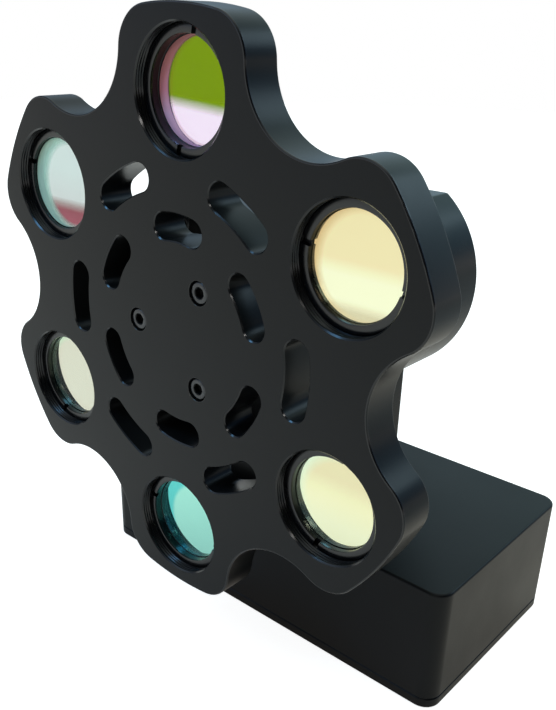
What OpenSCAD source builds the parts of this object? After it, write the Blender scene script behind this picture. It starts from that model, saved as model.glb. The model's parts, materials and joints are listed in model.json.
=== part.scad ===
// Motorised six-position optical filter wheel.
// The base stands on z = 0. The wheel turns about an axis along Y, and its front face looks towards -Y.
// Depths are measured rearwards from the wheel's front face.

/* [Filter wheel] */
// Thickness of the wheel
wheel_t = 10; // [9.5:0.5:12]
// Radius from the axis to the centre of each filter
pitch_r = 56; // [54:0.5:57]
// Radius over the ends of the lobes
lobe_r = 74; // [73:0.5:76]
// Radius of the rounded corners of each lobe
corner_r = 10; // [8:0.5:11]
// Radius of the round valley between two lobes
valley_r = 18; // [16:0.5:19]
// Radius from the axis to the centre of a valley's arc
valley_at = 75.2; // [75:0.1:78]
// Angle at which the wheel is parked
park_angle = -2; // [-5:0.5:5]
// Break on the front edges of the slots and cells
edge_break = 0.4; // [0.2:0.1:0.6]

/* [Slots] */
// Centre-line radius of the inner ring of slots
inner_slot_r = 26.4; // [25:0.1:28]
// Width of the inner slots
inner_slot_w = 6.5; // [5:0.1:7]
// Half of the angle between the end centres of an inner slot
inner_slot_a = 10.3; // [6:0.1:14]
// Centre-line radius of the outer ring of slots
outer_slot_r = 38.2; // [37:0.1:40]
// Width of the outer slots
outer_slot_w = 6.9; // [5:0.1:8]
// Half of the angle between the end centres of an outer slot
outer_slot_a = 9.5; // [6:0.1:14]

/* [Filters] */
// Outer diameter of a mounted filter
filter_d = 25; // [24.8:0.1:25.4]
// Thickness of a mounted filter
filter_t = 3.5; // [3:0.1:4]
// Clear aperture of a mounted filter
clear_d = 23.4; // [20:0.1:23.4]
// Thickness of the lip in front of a filter's glass
filter_lip = 0.4; // [0.3:0.1:1]
// Diameter of the threaded mouth of a cell
cell_d = 28.1; // [27.5:0.1:29]
// Depth of the threaded mouth of a cell
cell_depth = 5; // [4:0.1:5.5]
// Thickness of a retaining ring
retainer_t = 2.3; // [1.5:0.1:3]

/* [Motor] */
// Diameter of the motor housing
housing_d = 64; // [60:1:68]
// Height of the housing's flat top above the axis
flat_h = 25.7; // [25.5:0.1:30]
// Bore of the motor housing
bore_d = 47; // [46:0.5:47]
// Diameter of the shaft at its bearings
shaft_d = 8; // [7:0.5:8]
// Outer diameter of the ball bearings
bearing_d = 22; // [20:1:22]
// Width of the ball bearings
bearing_w = 7; // [6:0.5:7]

/* [Neck] */
// Width of the neck under the housing
neck_w = 37.6; // [34:0.2:42]
// Depth of the neck, front to back
neck_d = 40; // [36:1:44]

/* [Controller case] */
// Height of the wheel's axis above the surface it stands on
axis_h = 100; // [98:1:110]
// Width of the case
case_w = 132; // [130:1:140]
// Depth of the case, front to back
case_d = 68; // [66:1:72]
// Height of the case with its cover
case_h = 38; // [37:1:40]
// Radius of the case's upright corners
case_corner = 5; // [4:0.5:7]
// Wall thickness of the case
case_wall = 3; // [2.5:0.5:3.5]
// Thickness of the bottom cover
cover_t = 3; // [3:0.5:4]
// Side-to-side distance of the bench mounting holes
bench_x = 100; // [96:1:102]
// Front-to-back distance of the bench mounting holes
bench_y = 36; // [30:1:38]

/* [Hidden] */
$fn = 96;

black = [0.09, 0.09, 0.10];
green = [0.05, 0.30, 0.18];
steel = [0.62, 0.63, 0.65];
gap = 0.02;       // clearance of a close fit, all round
past = 1;         // how far a cut runs past the face it opens

// Places along the axis, as depths behind the wheel's front face
stations = 6;
hub_t = 6;
hub_back = wheel_t + hub_t;
bell_front = 19;
bell_back = 25;
front_bearing = 27;
coil_front = 37;
core_front = 40;
core_back = 62;
coil_back = 65;
web_front = 70;
web_back = 80;
rear_bearing = 78 - bearing_w;
encoder_front = 83.5;
cover_front = 88;
housing_back = 91;
case_front = 29;
neck_mid = 58;
cable_depth = 67.2;

// The origin is under the middle of the object, front to back
wheel_front = -(case_front + case_d) / 2;
case_mid_y = wheel_front + case_front + case_d / 2;
neck_mid_y = wheel_front + neck_mid;
cable_y = wheel_front + cable_depth;

// Fasteners, at their thread's nominal size
m2 = 2;
m3 = 3;
m4 = 4;
hub_r = 18;
pilot_r = 6;
pilot_t = 2;
wheel_screw_r = 14.35;
wheel_screw_sink = 0.4;
bell_screw_r = 28;
rear_screw_r = 18;
encoder_screw_r = 10.5;
bell_screw_a = 50;
neck_screw_x = 12.5;
neck_screw_y = 13;
cable_x = 5;
encoder_cable_z = -14.7;
motor_cable_z = -17.2;
motor_cable_r = 1.8;
encoder_cable_r = 1.1;

// Motor
collar_r = 5;
rotor_r = 11;
magnet_r = 14;
poles = 8;
teeth = 9;
tooth_w = 4.5;
tip_in = 14.5;
tip_out = 16.3;
yoke_in = 20;
coil_in = 16.4;
coil_out = 19.3;
coil_t = 2.1;
ball_d = 4;
ball_pitch_r = 7.5;
ball_count = 7;
cage_w = 5.2;

// Bores and pockets of the housing
shaft_hole_r = 7.5;
pocket_r = 20.5;
cover_r = 22.45;
neck_corner = 2;

// Controller board
board_w = 80;
board_d = 52;
board_t = 1.6;
board_z = 9;
board_top = board_z + board_t;
board_back_y = wheel_front + case_front + case_d - case_wall - 2.5;
board_mid_y = board_back_y - board_d / 2;
board_hole = 4;
jack_x = -24;
jack_z = board_top + 6.5;
usb_x = 12;
usb_z = board_top + 1.6;
case_back_y = wheel_front + case_front + case_d;
wall_in_y = case_back_y - case_wall;
header_z = board_top + 7;
post_in = 6.5;    // from the case's outer faces to the centre of a corner post

// ---------- helpers ----------

// Extrudes a 2D profile, seen from the front, from depth a to depth b.
module slice(a, b) translate([0, wheel_front + b, axis_h]) rotate([90, 0, 0]) linear_extrude(b - a) children();

// Revolves a profile of [radius, depth] points about the wheel's axis.
module turned() translate([0, wheel_front, axis_h]) rotate([-90, 0, 0]) rotate_extrude() children();

// Local Z points forwards (or rearwards) from a depth, X to the right and Y up (or down).
module facing_front(depth) translate([0, wheel_front + depth, axis_h]) rotate([90, 0, 0]) children();
module facing_rear(depth) translate([0, wheel_front + depth, axis_h]) rotate([-90, 0, 0]) children();

function station_angle(k) = 90 + park_angle - k * 360 / stations;
function polar(r, a) = [r * cos(a), r * sin(a)];

// Moves a piece made on the wheel's axis to filter station k.
module at_station(k) {
    place = polar(pitch_r, station_angle(k));
    translate([place.x, 0, place.y]) children();
}

// A rectangle with exact round corners.
module round_rect(w, d, r) {
    square([w - 2 * r, d], center = true);
    square([w, d - 2 * r], center = true);
    for (x = [-1, 1], y = [-1, 1]) translate([x * (w / 2 - r), y * (d / 2 - r)]) circle(r = r, $fn = 48);
}

// Socket head cap screw: the top of its head at z = 0, its shank towards -Z.
module cap_screw(d, length) {
    difference() {
        union() {
            translate([0, 0, -d]) cylinder(d = 1.83 * d, h = d, $fn = 48);
            translate([0, 0, -d - length]) cylinder(d = d, h = length + 0.01, $fn = 32);
        }
        translate([0, 0, -d / 2]) cylinder(d = 0.96 * d, h = d, $fn = 6);
    }
}

// Countersunk screw, its flat head flush with z = 0.
module flat_screw(d, length) {
    head = d / 2;
    difference() {
        union() {
            translate([0, 0, -head]) cylinder(d1 = d, d2 = 1.9 * d, h = head, $fn = 48);
            translate([0, 0, -length]) cylinder(d = d, h = length - head + 0.01, $fn = 32);
        }
        translate([0, 0, -head + 0.2]) cylinder(d = 0.75 * d, h = d, $fn = 6);
    }
}

// The hole for a flat_screw: its countersink and clearance hole, downwards from z = 0.
module flat_screw_hole(d, depth) {
    head = d / 2;
    translate([0, 0, -head]) cylinder(d1 = d + 0.1, d2 = 1.9 * d + 0.1, h = head, $fn = 48);
    translate([0, 0, -0.01]) cylinder(d = 1.9 * d + 0.1, h = past, $fn = 48);
    translate([0, 0, -depth - past]) cylinder(d = d + 0.4, h = depth + past, $fn = 32);
}

// ---------- wheel ----------

corner_at = lobe_r - corner_r;
// A corner arc is this much larger than its size, so that it crosses its neighbours rather than only touching them
corner_lap = 0.01;
// Angle from a lobe's centre line to the centre of its corner arc, which touches the end arc and the valley
corner_lean = 180 / stations - acos((pow(corner_at, 2) + pow(valley_at, 2) - pow(valley_r + corner_r, 2))
                                    / (2 * corner_at * valley_at));

// What is cut from a lobe between its end arc and the valley before the corner arc is put back.
module corner_cut(side) {
    outside = lobe_r + 3;
    polygon([polar(corner_at, side * corner_lean), polar(outside, side * corner_lean),
             polar(outside, side * 180 / stations), polar(valley_at, side * 180 / stations)]);
}

// The lobed outline, with lobe 1 along +X.
module wheel_outline() {
    difference() {
        circle(r = lobe_r);
        for (k = [0 : stations - 1]) rotate(k * 360 / stations) {
            rotate(180 / stations) translate([valley_at, 0]) circle(r = valley_r);
            for (side = [-1, 1]) corner_cut(side);
        }
    }
    for (k = [0 : stations - 1], side = [-1, 1])
        rotate(k * 360 / stations + side * corner_lean) translate([corner_at, 0]) circle(r = corner_r + corner_lap);
}

// One curved slot, centred on +X, with its front edge broken. Z runs from 0 to the front face.
module arc_slot(r, w, a) {
    flare = w / 2 + 2 * edge_break;
    rotate(-a) rotate_extrude(angle = 2 * a) translate([r - w / 2, -past]) square([w, wheel_t + 2 * past]);
    rotate(-a) rotate_extrude(angle = 2 * a)
        polygon([[r - w / 2, wheel_t - edge_break], [r + w / 2, wheel_t - edge_break],
                 [r + flare, wheel_t + edge_break], [r - flare, wheel_t + edge_break]]);
    for (side = [-1, 1]) rotate(side * a) translate([r, 0, 0]) {
        translate([0, 0, -past]) cylinder(d = w, h = wheel_t + 2 * past, $fn = 48);
        translate([0, 0, wheel_t - edge_break]) cylinder(r1 = w / 2, r2 = flare, h = 2 * edge_break, $fn = 48);
    }
}

// The stepped hole that holds a filter: broken edge, threaded mouth, filter seat and exit aperture.
module cell_cut() {
    mouth = cell_d / 2;
    seat = filter_d / 2 + 0.05;
    exit = filter_d / 2 - 1;
    polygon([[0, -past], [mouth + edge_break + past, -past], [mouth, edge_break], [mouth, cell_depth],
             [seat, cell_depth], [seat, cell_depth + filter_t], [exit, cell_depth + filter_t],
             [exit, wheel_t + past], [0, wheel_t + past]]);
}

module wheel_screw_cut() {
    head = 0.915 * m3 + 0.3;
    sink = wheel_screw_sink + m3;
    polygon([[0, -past], [head, -past], [head, sink], [m3 / 2 + 0.2, sink],
             [m3 / 2 + 0.2, wheel_t + past], [0, wheel_t + past]]);
}

module at_wheel_screws() {
    for (k = [0 : 2]) {
        place = polar(wheel_screw_r, 60 + 120 * k + park_angle);
        translate([place.x, 0, place.y]) children();
    }
}

module filter_wheel() color(black) difference() {
    facing_front(wheel_t) rotate(90 + park_angle) {
        difference() {
            linear_extrude(wheel_t) wheel_outline();
            for (k = [0 : stations - 1]) {
                rotate(k * 360 / stations) arc_slot(inner_slot_r, inner_slot_w, inner_slot_a);
                rotate((k + 0.5) * 360 / stations) arc_slot(outer_slot_r, outer_slot_w, outer_slot_a);
            }
        }
    }
    for (k = [0 : stations - 1]) at_station(k) turned() cell_cut();
    at_wheel_screws() turned() wheel_screw_cut();
    turned() translate([0, wheel_t - pilot_t - 0.1]) square([pilot_r + gap, pilot_t + past]);
}

// ---------- filters ----------

// Black ring that the glass is rolled into, with a lip in front.
module filter_mount(k) color(black) at_station(k) turned() {
    outer = filter_d / 2;
    groove = outer - 0.5;
    glass_front = cell_depth + filter_lip;
    back = cell_depth + filter_t;
    polygon([[clear_d / 2, cell_depth], [outer, cell_depth], [outer, back], [clear_d / 2, back],
             [clear_d / 2, back - 0.5], [groove, back - 0.5], [groove, glass_front],
             [clear_d / 2, glass_front]]);
}

module filter_glass(k) {
    tint = [[0.62, 0.75, 0.10], [0.95, 0.90, 0.72], [0.96, 0.95, 0.80],
            [0.70, 0.90, 0.86], [0.93, 0.93, 0.82], [0.85, 0.93, 0.90]][k];
    color(tint, 0.6) at_station(k) turned()
        translate([0, cell_depth + filter_lip]) square([filter_d / 2 - 0.5 - gap, filter_t - filter_lip - 0.5]);
}

// Threaded ring with two spanner slots across its front face.
module retaining_ring(k) color(black) {
    outer = cell_d / 2 - 0.1;
    inner = 11.8;
    front = cell_depth - retainer_t;
    slot_w = 1.4;
    slot_depth = 1;
    difference() {
        at_station(k) turned() polygon([[inner + 0.3, front], [outer, front], [outer, cell_depth],
                                        [inner, cell_depth], [inner, front + 0.3]]);
        at_station(k) facing_front(front + slot_depth) rotate(78 + 88 * k)
            for (side = [0, 180]) rotate(side) translate([inner - past, -slot_w / 2, 0])
                cube([outer - inner + 2 * past, slot_w, slot_depth + past]);
    }
}

module filter_mount_1() filter_mount(0);
module filter_mount_2() filter_mount(1);
module filter_mount_3() filter_mount(2);
module filter_mount_4() filter_mount(3);
module filter_mount_5() filter_mount(4);
module filter_mount_6() filter_mount(5);
module filter_glass_1() filter_glass(0);
module filter_glass_2() filter_glass(1);
module filter_glass_3() filter_glass(2);
module filter_glass_4() filter_glass(3);
module filter_glass_5() filter_glass(4);
module filter_glass_6() filter_glass(5);
module retaining_ring_1() retaining_ring(0);
module retaining_ring_2() retaining_ring(1);
module retaining_ring_3() retaining_ring(2);
module retaining_ring_4() retaining_ring(3);
module retaining_ring_5() retaining_ring(4);
module retaining_ring_6() retaining_ring(5);

// ---------- hub and shaft ----------

module at_hub_set_screws() for (a = [0, 120]) rotate(a + park_angle) rotate([0, 90, 0]) children();

// Flange that the wheel is screwed to, with a pilot that centres the wheel.
module wheel_hub() color(black) difference() {
    turned() polygon([[shaft_d / 2, wheel_t - pilot_t], [pilot_r, wheel_t - pilot_t], [pilot_r, wheel_t],
                      [hub_r, wheel_t], [hub_r, hub_back - 0.5], [hub_r - 0.5, hub_back],
                      [shaft_d / 2, hub_back]]);
    at_wheel_screws() turned() translate([0, wheel_t - past]) square([m3 / 2 + gap, hub_t + 2 * past]);
    facing_front(wheel_t + hub_t / 2) at_hub_set_screws() cylinder(d = m3 + 2 * gap, h = hub_r + past, $fn = 32);
}

module wheel_screws() color(steel) at_wheel_screws() facing_front(wheel_screw_sink) cap_screw(m3, 12);

module hub_set_screws() color(steel) facing_front(wheel_t + hub_t / 2) at_hub_set_screws() {
    length = 6;
    difference() {
        translate([0, 0, shaft_d / 2]) cylinder(d = m3, h = length, $fn = 32);
        translate([0, 0, shaft_d / 2 + length - 1.5]) cylinder(d = 0.55 * m3, h = 2, $fn = 6);
    }
}

// Shaft with a collar between the bearings.
module motor_shaft() color(steel) turned() {
    r = shaft_d / 2;
    front = wheel_t - pilot_t + 0.3;
    collar_front = front_bearing + bearing_w;
    polygon([[0, front], [r - 0.4, front], [r, front + 0.4], [r, collar_front], [collar_r, collar_front],
             [collar_r, rear_bearing], [r, rear_bearing], [r, web_back], [0, web_back]]);
}

module rotor_core() color([0.45, 0.46, 0.48]) slice(core_front, core_back) difference() {
    circle(r = rotor_r);
    circle(r = collar_r);
    for (k = [0 : poles - 1]) rotate(360 / poles * k + park_angle) translate([8, 0]) circle(r = 1.5, $fn = 32);
}

module rotor_magnets() color([0.72, 0.72, 0.74]) slice(core_front, core_back)
    for (k = [0 : poles - 1]) rotate(360 / poles * (k + 0.5)) sector(rotor_r, magnet_r, 20);

// Part of a ring between two radii, a degrees to each side of +X.
module sector(r_in, r_out, a) {
    reach = 2 * r_out;
    intersection() {
        difference() {
            circle(r = r_out);
            circle(r = r_in);
        }
        polygon([[0, 0], polar(reach, -a), polar(reach, a)]);
    }
}

module encoder_magnet() color(steel) turned() translate([0, web_back]) square([3, 2]);

// ---------- bearings ----------

module race(r_in, r_out, front) turned() difference() {
    translate([r_in, front]) square([r_out - r_in, bearing_w]);
    translate([ball_pitch_r, front + bearing_w / 2]) circle(d = ball_d + 0.12, $fn = 48);
}

module inner_race(front) color(steel) race(shaft_d / 2, 5.9, front);
module outer_race(front) color(steel) race(9.2, bearing_d / 2, front);

// Balls, and the ring with round pockets that keeps them apart.
module ball_cage(front) color([0.80, 0.72, 0.45]) facing_front(front + bearing_w / 2) {
    difference() {
        translate([0, 0, -cage_w / 2]) linear_extrude(cage_w) difference() {
            circle(r = ball_pitch_r + 0.5, $fn = 48);
            circle(r = ball_pitch_r - 0.5, $fn = 48);
        }
        at_balls() translate([-2, 0, 0]) rotate([0, 90, 0]) cylinder(d = ball_d + 0.1, h = 4, $fn = 32);
    }
    at_balls() sphere(d = ball_d, $fn = 24);
}

module at_balls() for (k = [0 : ball_count - 1]) rotate(360 / ball_count * k) translate([ball_pitch_r, 0, 0])
    children();

module front_inner_race() inner_race(front_bearing);
module rear_inner_race() inner_race(rear_bearing);
module front_outer_race() outer_race(front_bearing);
module rear_outer_race() outer_race(rear_bearing);
module front_ball_cage() ball_cage(front_bearing);
module rear_ball_cage() ball_cage(rear_bearing);

// Three-wave washer between the end bell's shoulder and the front bearing.
module preload_spring() color(steel) facing_rear(front_bearing - 0.5) {
    turns = 60;
    thick = 0.25;
    wave = 0.34;
    rings = [[9.6, -1], [10.8, -1], [10.8, 1], [9.6, 1]];
    points = [for (i = [0 : turns - 1]) let (a = i * 360 / turns, lift = wave * sin(3 * a))
              for (p = rings) [p[0] * cos(a), p[0] * sin(a), lift + p[1] * thick / 2]];
    faces = [for (i = [0 : turns - 1], j = [0 : 3]) let (m = (i + 1) % turns, n = (j + 1) % 4)
             [4 * i + j, 4 * i + n, 4 * m + n, 4 * m + j]];
    polyhedron(points, faces);
}

// ---------- motor ----------

// Round section with a flat top.
module housing_section() intersection() {
    circle(d = housing_d);
    translate([-housing_d, -housing_d]) square([2 * housing_d, housing_d + flat_h]);
}

module at_bell_screws() for (half = [0, 180], side = [-1, 1])
    rotate(half + side * bell_screw_a) translate([bell_screw_r, 0, 0]) children();

// Front plate of the motor, with the front bearing's seat.
module front_end_bell() color(black) difference() {
    union() {
        slice(bell_front, bell_back) housing_section();
        turned() translate([0, bell_back - 0.01]) square([bore_d / 2 - gap, 3]);
        turned() translate([0, bell_back - 0.01]) square([14, front_bearing + bearing_w + 0.5 - bell_back]);
    }
    turned() polygon([[0, bell_front - past], [shaft_d / 2 + 0.6, bell_front - past],
                      [shaft_d / 2 + 0.6, front_bearing - 1], [bearing_d / 2 + gap, front_bearing - 1],
                      [bearing_d / 2 + gap, coil_front], [0, coil_front]]);
    facing_front(bell_back) at_bell_screws() {
        translate([0, 0, -past]) cylinder(d = m3 + 0.4, h = 10, $fn = 32);
        translate([0, 0, bell_back - bell_front - m3 - 0.4]) cylinder(d = 2.03 * m3, h = 10, $fn = 48);
    }
}

module end_bell_screws() color(steel) facing_front(bell_front + 0.4) at_bell_screws() cap_screw(m3, 10);

// Posts in the rear pocket carry the rear cover and the encoder board.
module at_rear_screws() for (a = [30, 150, 270]) rotate(a) translate([rear_screw_r, 0, 0]) children();
module at_encoder_screws() for (a = [90, 210, 330]) rotate(a) translate([encoder_screw_r, 0, 0]) children();

// Bore for the stator, seat of the rear bearing, and the pocket behind it with its recess for the cover.
module housing_bore() {
    stator = bore_d / 2;
    seat = bearing_d / 2 + gap;
    shoulder = rear_bearing + bearing_w;
    polygon([[0, bell_back - past], [stator, bell_back - past], [stator, web_front], [seat, web_front],
             [seat, shoulder], [shaft_hole_r, shoulder], [shaft_hole_r, web_back], [pocket_r, web_back],
             [pocket_r, cover_front], [cover_r + 0.05, cover_front], [cover_r + 0.05, housing_back + past],
             [0, housing_back + past]]);
}

// One-piece housing: round body with a flat top, and the neck that carries it over the case.
module motor_housing() color(black) difference() {
    union() {
        difference() {
            union() {
                slice(bell_back, housing_back) housing_section();
                translate([0, neck_mid_y, case_h]) linear_extrude(axis_h - case_h - bore_d / 2 + 2)
                    round_rect(neck_w, neck_d, neck_corner);
            }
            turned() housing_bore();
        }
        facing_rear(web_back - 0.01) {
            at_rear_screws() cylinder(r = 3.2, h = cover_front - web_back, $fn = 32);
            at_encoder_screws() cylinder(r = 2.4, h = encoder_front - web_back, $fn = 32);
        }
    }
    facing_rear(web_back) {
        at_rear_screws() translate([0, 0, 2]) cylinder(d = m3 + 2 * gap, h = 8, $fn = 32);
        at_encoder_screws() translate([0, 0, 0.5]) cylinder(d = m2 + 2 * gap, h = 5, $fn = 32);
    }
    facing_front(bell_back) at_bell_screws() translate([0, 0, -9]) cylinder(d = m3 + 2 * gap, h = 10, $fn = 32);
    translate([-cable_x, wheel_front + web_front - past, axis_h + encoder_cable_z]) rotate([-90, 0, 0])
        cylinder(r = encoder_cable_r + 0.3, h = web_back - web_front + 2 * past, $fn = 32);
    neck_cable_holes(case_h - past, axis_h - bore_d / 2 - case_h + 3);
    translate([0, neck_mid_y, case_h - past]) at_neck_screws() cylinder(d = m4 + 2 * gap, h = 11, $fn = 32);
}

module neck_cable_holes(z, h) {
    translate([cable_x, cable_y, z]) cylinder(r = motor_cable_r + 0.6, h = h, $fn = 32);
    translate([-cable_x, cable_y, z]) cylinder(r = encoder_cable_r + 0.6, h = h, $fn = 32);
}

module at_neck_screws() for (x = [-1, 1], y = [-1, 1])
    translate([x * neck_screw_x, y * neck_screw_y, 0]) children();

module stator_core() color([0.45, 0.46, 0.48]) slice(core_front, core_back) {
    difference() {
        circle(r = bore_d / 2 - gap);
        circle(r = yoke_in);
    }
    for (k = [0 : teeth - 1]) rotate(90 + 360 / teeth * k) {
        translate([tip_in + 1, -tooth_w / 2]) square([yoke_in - tip_in, tooth_w]);
        sector(tip_in, tip_out, 16);
    }
}

// One winding round each tooth.
module stator_coils() color([0.72, 0.38, 0.18]) for (k = [0 : teeth - 1])
    facing_front((core_front + core_back) / 2) rotate(90 + 360 / teeth * k) translate([coil_in, 0, 0])
        rotate([90, 0, 90]) linear_extrude(coil_out - coil_in) difference() {
            round_rect(tooth_w + 2 * coil_t, coil_back - coil_front, 1.8);
            square([tooth_w + 0.04, core_back - core_front + 0.04], center = true);
        }

// ---------- encoder and rear cover ----------

// Round board with a tab for its lead, and a sensor chip that faces the magnet.
module encoder_board() color(green) difference() {
    union() {
        slice(encoder_front, encoder_front + board_t) {
            circle(r = 13.5);
            rotate(atan2(encoder_cable_z, -cable_x)) translate([8, -4]) square([10, 8]);
        }
        slice(encoder_front - 1, encoder_front + 0.01) square(5, center = true);
    }
    facing_rear(encoder_front - past) at_encoder_screws() cylinder(d = m2 + 0.3, h = 5, $fn = 32);
}

module encoder_screws() color(steel) facing_rear(encoder_front + board_t + m2) at_encoder_screws()
    cap_screw(m2, 4);

module rear_cover() color(black) difference() {
    turned() polygon([[0, cover_front], [cover_r, cover_front], [cover_r, housing_back - 0.3],
                      [cover_r - 0.3, housing_back], [0, housing_back]]);
    facing_rear(housing_back) at_rear_screws() flat_screw_hole(m3, housing_back - cover_front);
}

module rear_cover_screws() color(steel) facing_rear(housing_back - 0.05) at_rear_screws() flat_screw(m3, 8);

// ---------- leads inside the neck ----------

module lead(x, r, z, depth) {
    translate([x, cable_y, header_z]) cylinder(r = r, h = axis_h + z - header_z, $fn = 32);
    translate([x, cable_y, axis_h + z]) sphere(r = r, $fn = 32);
    translate([x, cable_y, axis_h + z]) rotate([depth > cable_depth ? -90 : 90, 0, 0])
        cylinder(r = r, h = abs(depth - cable_depth), $fn = 32);
}

module motor_cable() color([0.12, 0.12, 0.12]) lead(cable_x, motor_cable_r, motor_cable_z, coil_back);
module encoder_cable() color([0.30, 0.30, 0.32]) lead(-cable_x, encoder_cable_r, encoder_cable_z, encoder_front);

// ---------- controller case ----------

module at_case_posts() for (x = [-1, 1], y = [-1, 1])
    translate([x * (case_w / 2 - post_in), case_mid_y + y * (case_d / 2 - post_in), 0]) children();

module usb_outline(grow) {
    w = 9 + 2 * grow;
    h = 3.2 + 2 * grow;
    square([w - h, h], center = true);
    for (x = [-1, 1]) translate([x * (w - h) / 2, 0]) circle(d = h, $fn = 32);
}

// Case milled from one block, open underneath.
module controller_case() color(black) difference() {
    union() {
        difference() {
            translate([0, case_mid_y, cover_t]) linear_extrude(case_h - cover_t)
                round_rect(case_w, case_d, case_corner);
            translate([0, case_mid_y, cover_t - past]) linear_extrude(case_h - cover_t - 4 + past)
                round_rect(case_w - 2 * case_wall, case_d - 2 * case_wall, case_corner - 2);
        }
        at_case_posts() translate([0, 0, cover_t]) cylinder(r = 4.5, h = case_h - cover_t - 2, $fn = 48);
    }
    at_case_posts() translate([0, 0, cover_t - past]) cylinder(d = m3 + 2 * gap, h = 13, $fn = 32);
    neck_cable_holes(case_h - 4 - past, 4 + 2 * past);
    translate([0, neck_mid_y, case_h - 4 - past]) at_neck_screws() cylinder(d = m4 + 0.4, h = 4 + 2 * past, $fn = 32);
    translate([jack_x, wall_in_y - past, jack_z]) rotate([-90, 0, 0])
        cylinder(r = 4.1, h = case_wall + 2 * past, $fn = 48);
    translate([usb_x, case_back_y + past, usb_z]) rotate([90, 0, 0])
        linear_extrude(case_wall + 2 * past) usb_outline(0.3);
}

module neck_screws() color(steel) translate([0, neck_mid_y, case_h - 4 - m4]) at_neck_screws()
    rotate([180, 0, 0]) cap_screw(m4, 12);

module at_bench_holes() for (x = [-1, 1], y = [-1, 1])
    translate([x * bench_x / 2, case_mid_y + y * bench_y / 2, 0]) children();

module at_board_holes() for (x = [-1, 1], y = [-1, 1])
    translate([x * (board_w / 2 - board_hole), board_mid_y + y * (board_d / 2 - board_hole), 0]) children();

// Plate under the case, with thickened bosses for the bench screws.
module bottom_cover() color(black) difference() {
    union() {
        translate([0, case_mid_y, 0]) linear_extrude(cover_t)
            round_rect(case_w, case_d, case_corner);
        at_bench_holes() cylinder(r = 5, h = 9, $fn = 48);
    }
    at_bench_holes() translate([0, 0, -past]) cylinder(d = m4, h = 12, $fn = 48);
    at_case_posts() rotate([180, 0, 0]) flat_screw_hole(m3, cover_t);
    at_board_holes() translate([0, 0, cover_t - 1.5]) cylinder(r = 2 + gap, h = 3, $fn = 32);
}

module cover_screws() color(steel) at_case_posts() translate([0, 0, 0.05]) rotate([180, 0, 0]) flat_screw(m3, 10);

// ---------- control board ----------

module board_standoffs() color([0.75, 0.65, 0.35]) at_board_holes() difference() {
    union() {
        translate([0, 0, cover_t]) cylinder(d = 5.5 / cos(30), h = board_z - cover_t, $fn = 6);
        translate([0, 0, cover_t - 1.5]) cylinder(r = 2, h = 2, $fn = 32);
    }
    translate([0, 0, cover_t + 0.5]) cylinder(d = m3 + 2 * gap, h = board_z, $fn = 32);
}

module board_screws() color(steel) at_board_holes() translate([0, 0, board_top + m3]) cap_screw(m3, 6);

module control_board() color(green) difference() {
    translate([0, board_mid_y, board_z]) linear_extrude(board_t) round_rect(board_w, board_d, 2);
    at_board_holes() translate([0, 0, board_z - past]) cylinder(d = m3 + 0.4, h = 5, $fn = 32);
}

// Chips: [x, y from the board's middle, size].
module driver_chips() color([0.10, 0.10, 0.11])
    for (chip = [[-20, -10, 9], [20, -6, 7], [28, 10, 5]])
        translate([chip[0] - chip[2] / 2, board_mid_y + chip[1] - chip[2] / 2, board_top])
            cube([chip[2], chip[2], 1.2]);

module capacitors() color([0.35, 0.36, 0.40])
    for (y = [-9, 2]) translate([-33, board_mid_y + y, board_top]) cylinder(d = 8, h = 10, $fn = 48);

module cable_headers() color([0.88, 0.86, 0.80]) for (x = [-cable_x, cable_x])
    translate([x - 3.9, cable_y - 3, board_top]) cube([7.8, 6, header_z - board_top]);

// Barrel jack whose nose fills its hole in the rear wall.
module power_jack() color([0.08, 0.08, 0.08]) {
    nose_back = case_back_y - 0.3;
    bore_h = 10;
    difference() {
        union() {
            translate([jack_x - 4.5, wall_in_y - 14, board_top]) cube([9, 14, 11]);
            translate([jack_x, wall_in_y - 0.01, jack_z]) rotate([-90, 0, 0])
                cylinder(r = 4, h = nose_back - wall_in_y, $fn = 48);
        }
        translate([jack_x, nose_back - bore_h, jack_z]) rotate([-90, 0, 0])
            cylinder(r = 2.85, h = bore_h + past, $fn = 48);
    }
    translate([jack_x, nose_back - bore_h - 0.01, jack_z]) rotate([-90, 0, 0])
        cylinder(r = 1.05, h = bore_h - 1.2, $fn = 32);
}

// Small two-sided socket: a thin shell with a tongue in it.
module usb_socket() color([0.70, 0.70, 0.72]) translate([usb_x, case_back_y - 0.3, usb_z]) rotate([90, 0, 0]) {
    linear_extrude(8) difference() {
        usb_outline(0);
        usb_outline(-0.3);
    }
    translate([0, 0, 7.4]) linear_extrude(0.6) usb_outline(-0.1);
    translate([0, 0, 1]) linear_extrude(6.5) square([6.6, 0.7], center = true);
}

filter_wheel();
filter_mount_1();
filter_mount_2();
filter_mount_3();
filter_mount_4();
filter_mount_5();
filter_mount_6();
filter_glass_1();
filter_glass_2();
filter_glass_3();
filter_glass_4();
filter_glass_5();
filter_glass_6();
retaining_ring_1();
retaining_ring_2();
retaining_ring_3();
retaining_ring_4();
retaining_ring_5();
retaining_ring_6();
wheel_hub();
wheel_screws();
hub_set_screws();
motor_shaft();
rotor_core();
rotor_magnets();
encoder_magnet();
front_inner_race();
rear_inner_race();
front_ball_cage();
rear_ball_cage();
front_outer_race();
rear_outer_race();
preload_spring();
front_end_bell();
end_bell_screws();
motor_housing();
stator_core();
stator_coils();
encoder_board();
encoder_screws();
rear_cover();
rear_cover_screws();
motor_cable();
encoder_cable();
controller_case();
neck_screws();
control_board();
driver_chips();
capacitors();
cable_headers();
power_jack();
usb_socket();
board_standoffs();
board_screws();
bottom_cover();
cover_screws();
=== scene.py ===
import json
import math

import bmesh
import bpy
import numpy as np
from mathutils import Matrix, Vector, geometry


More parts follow.
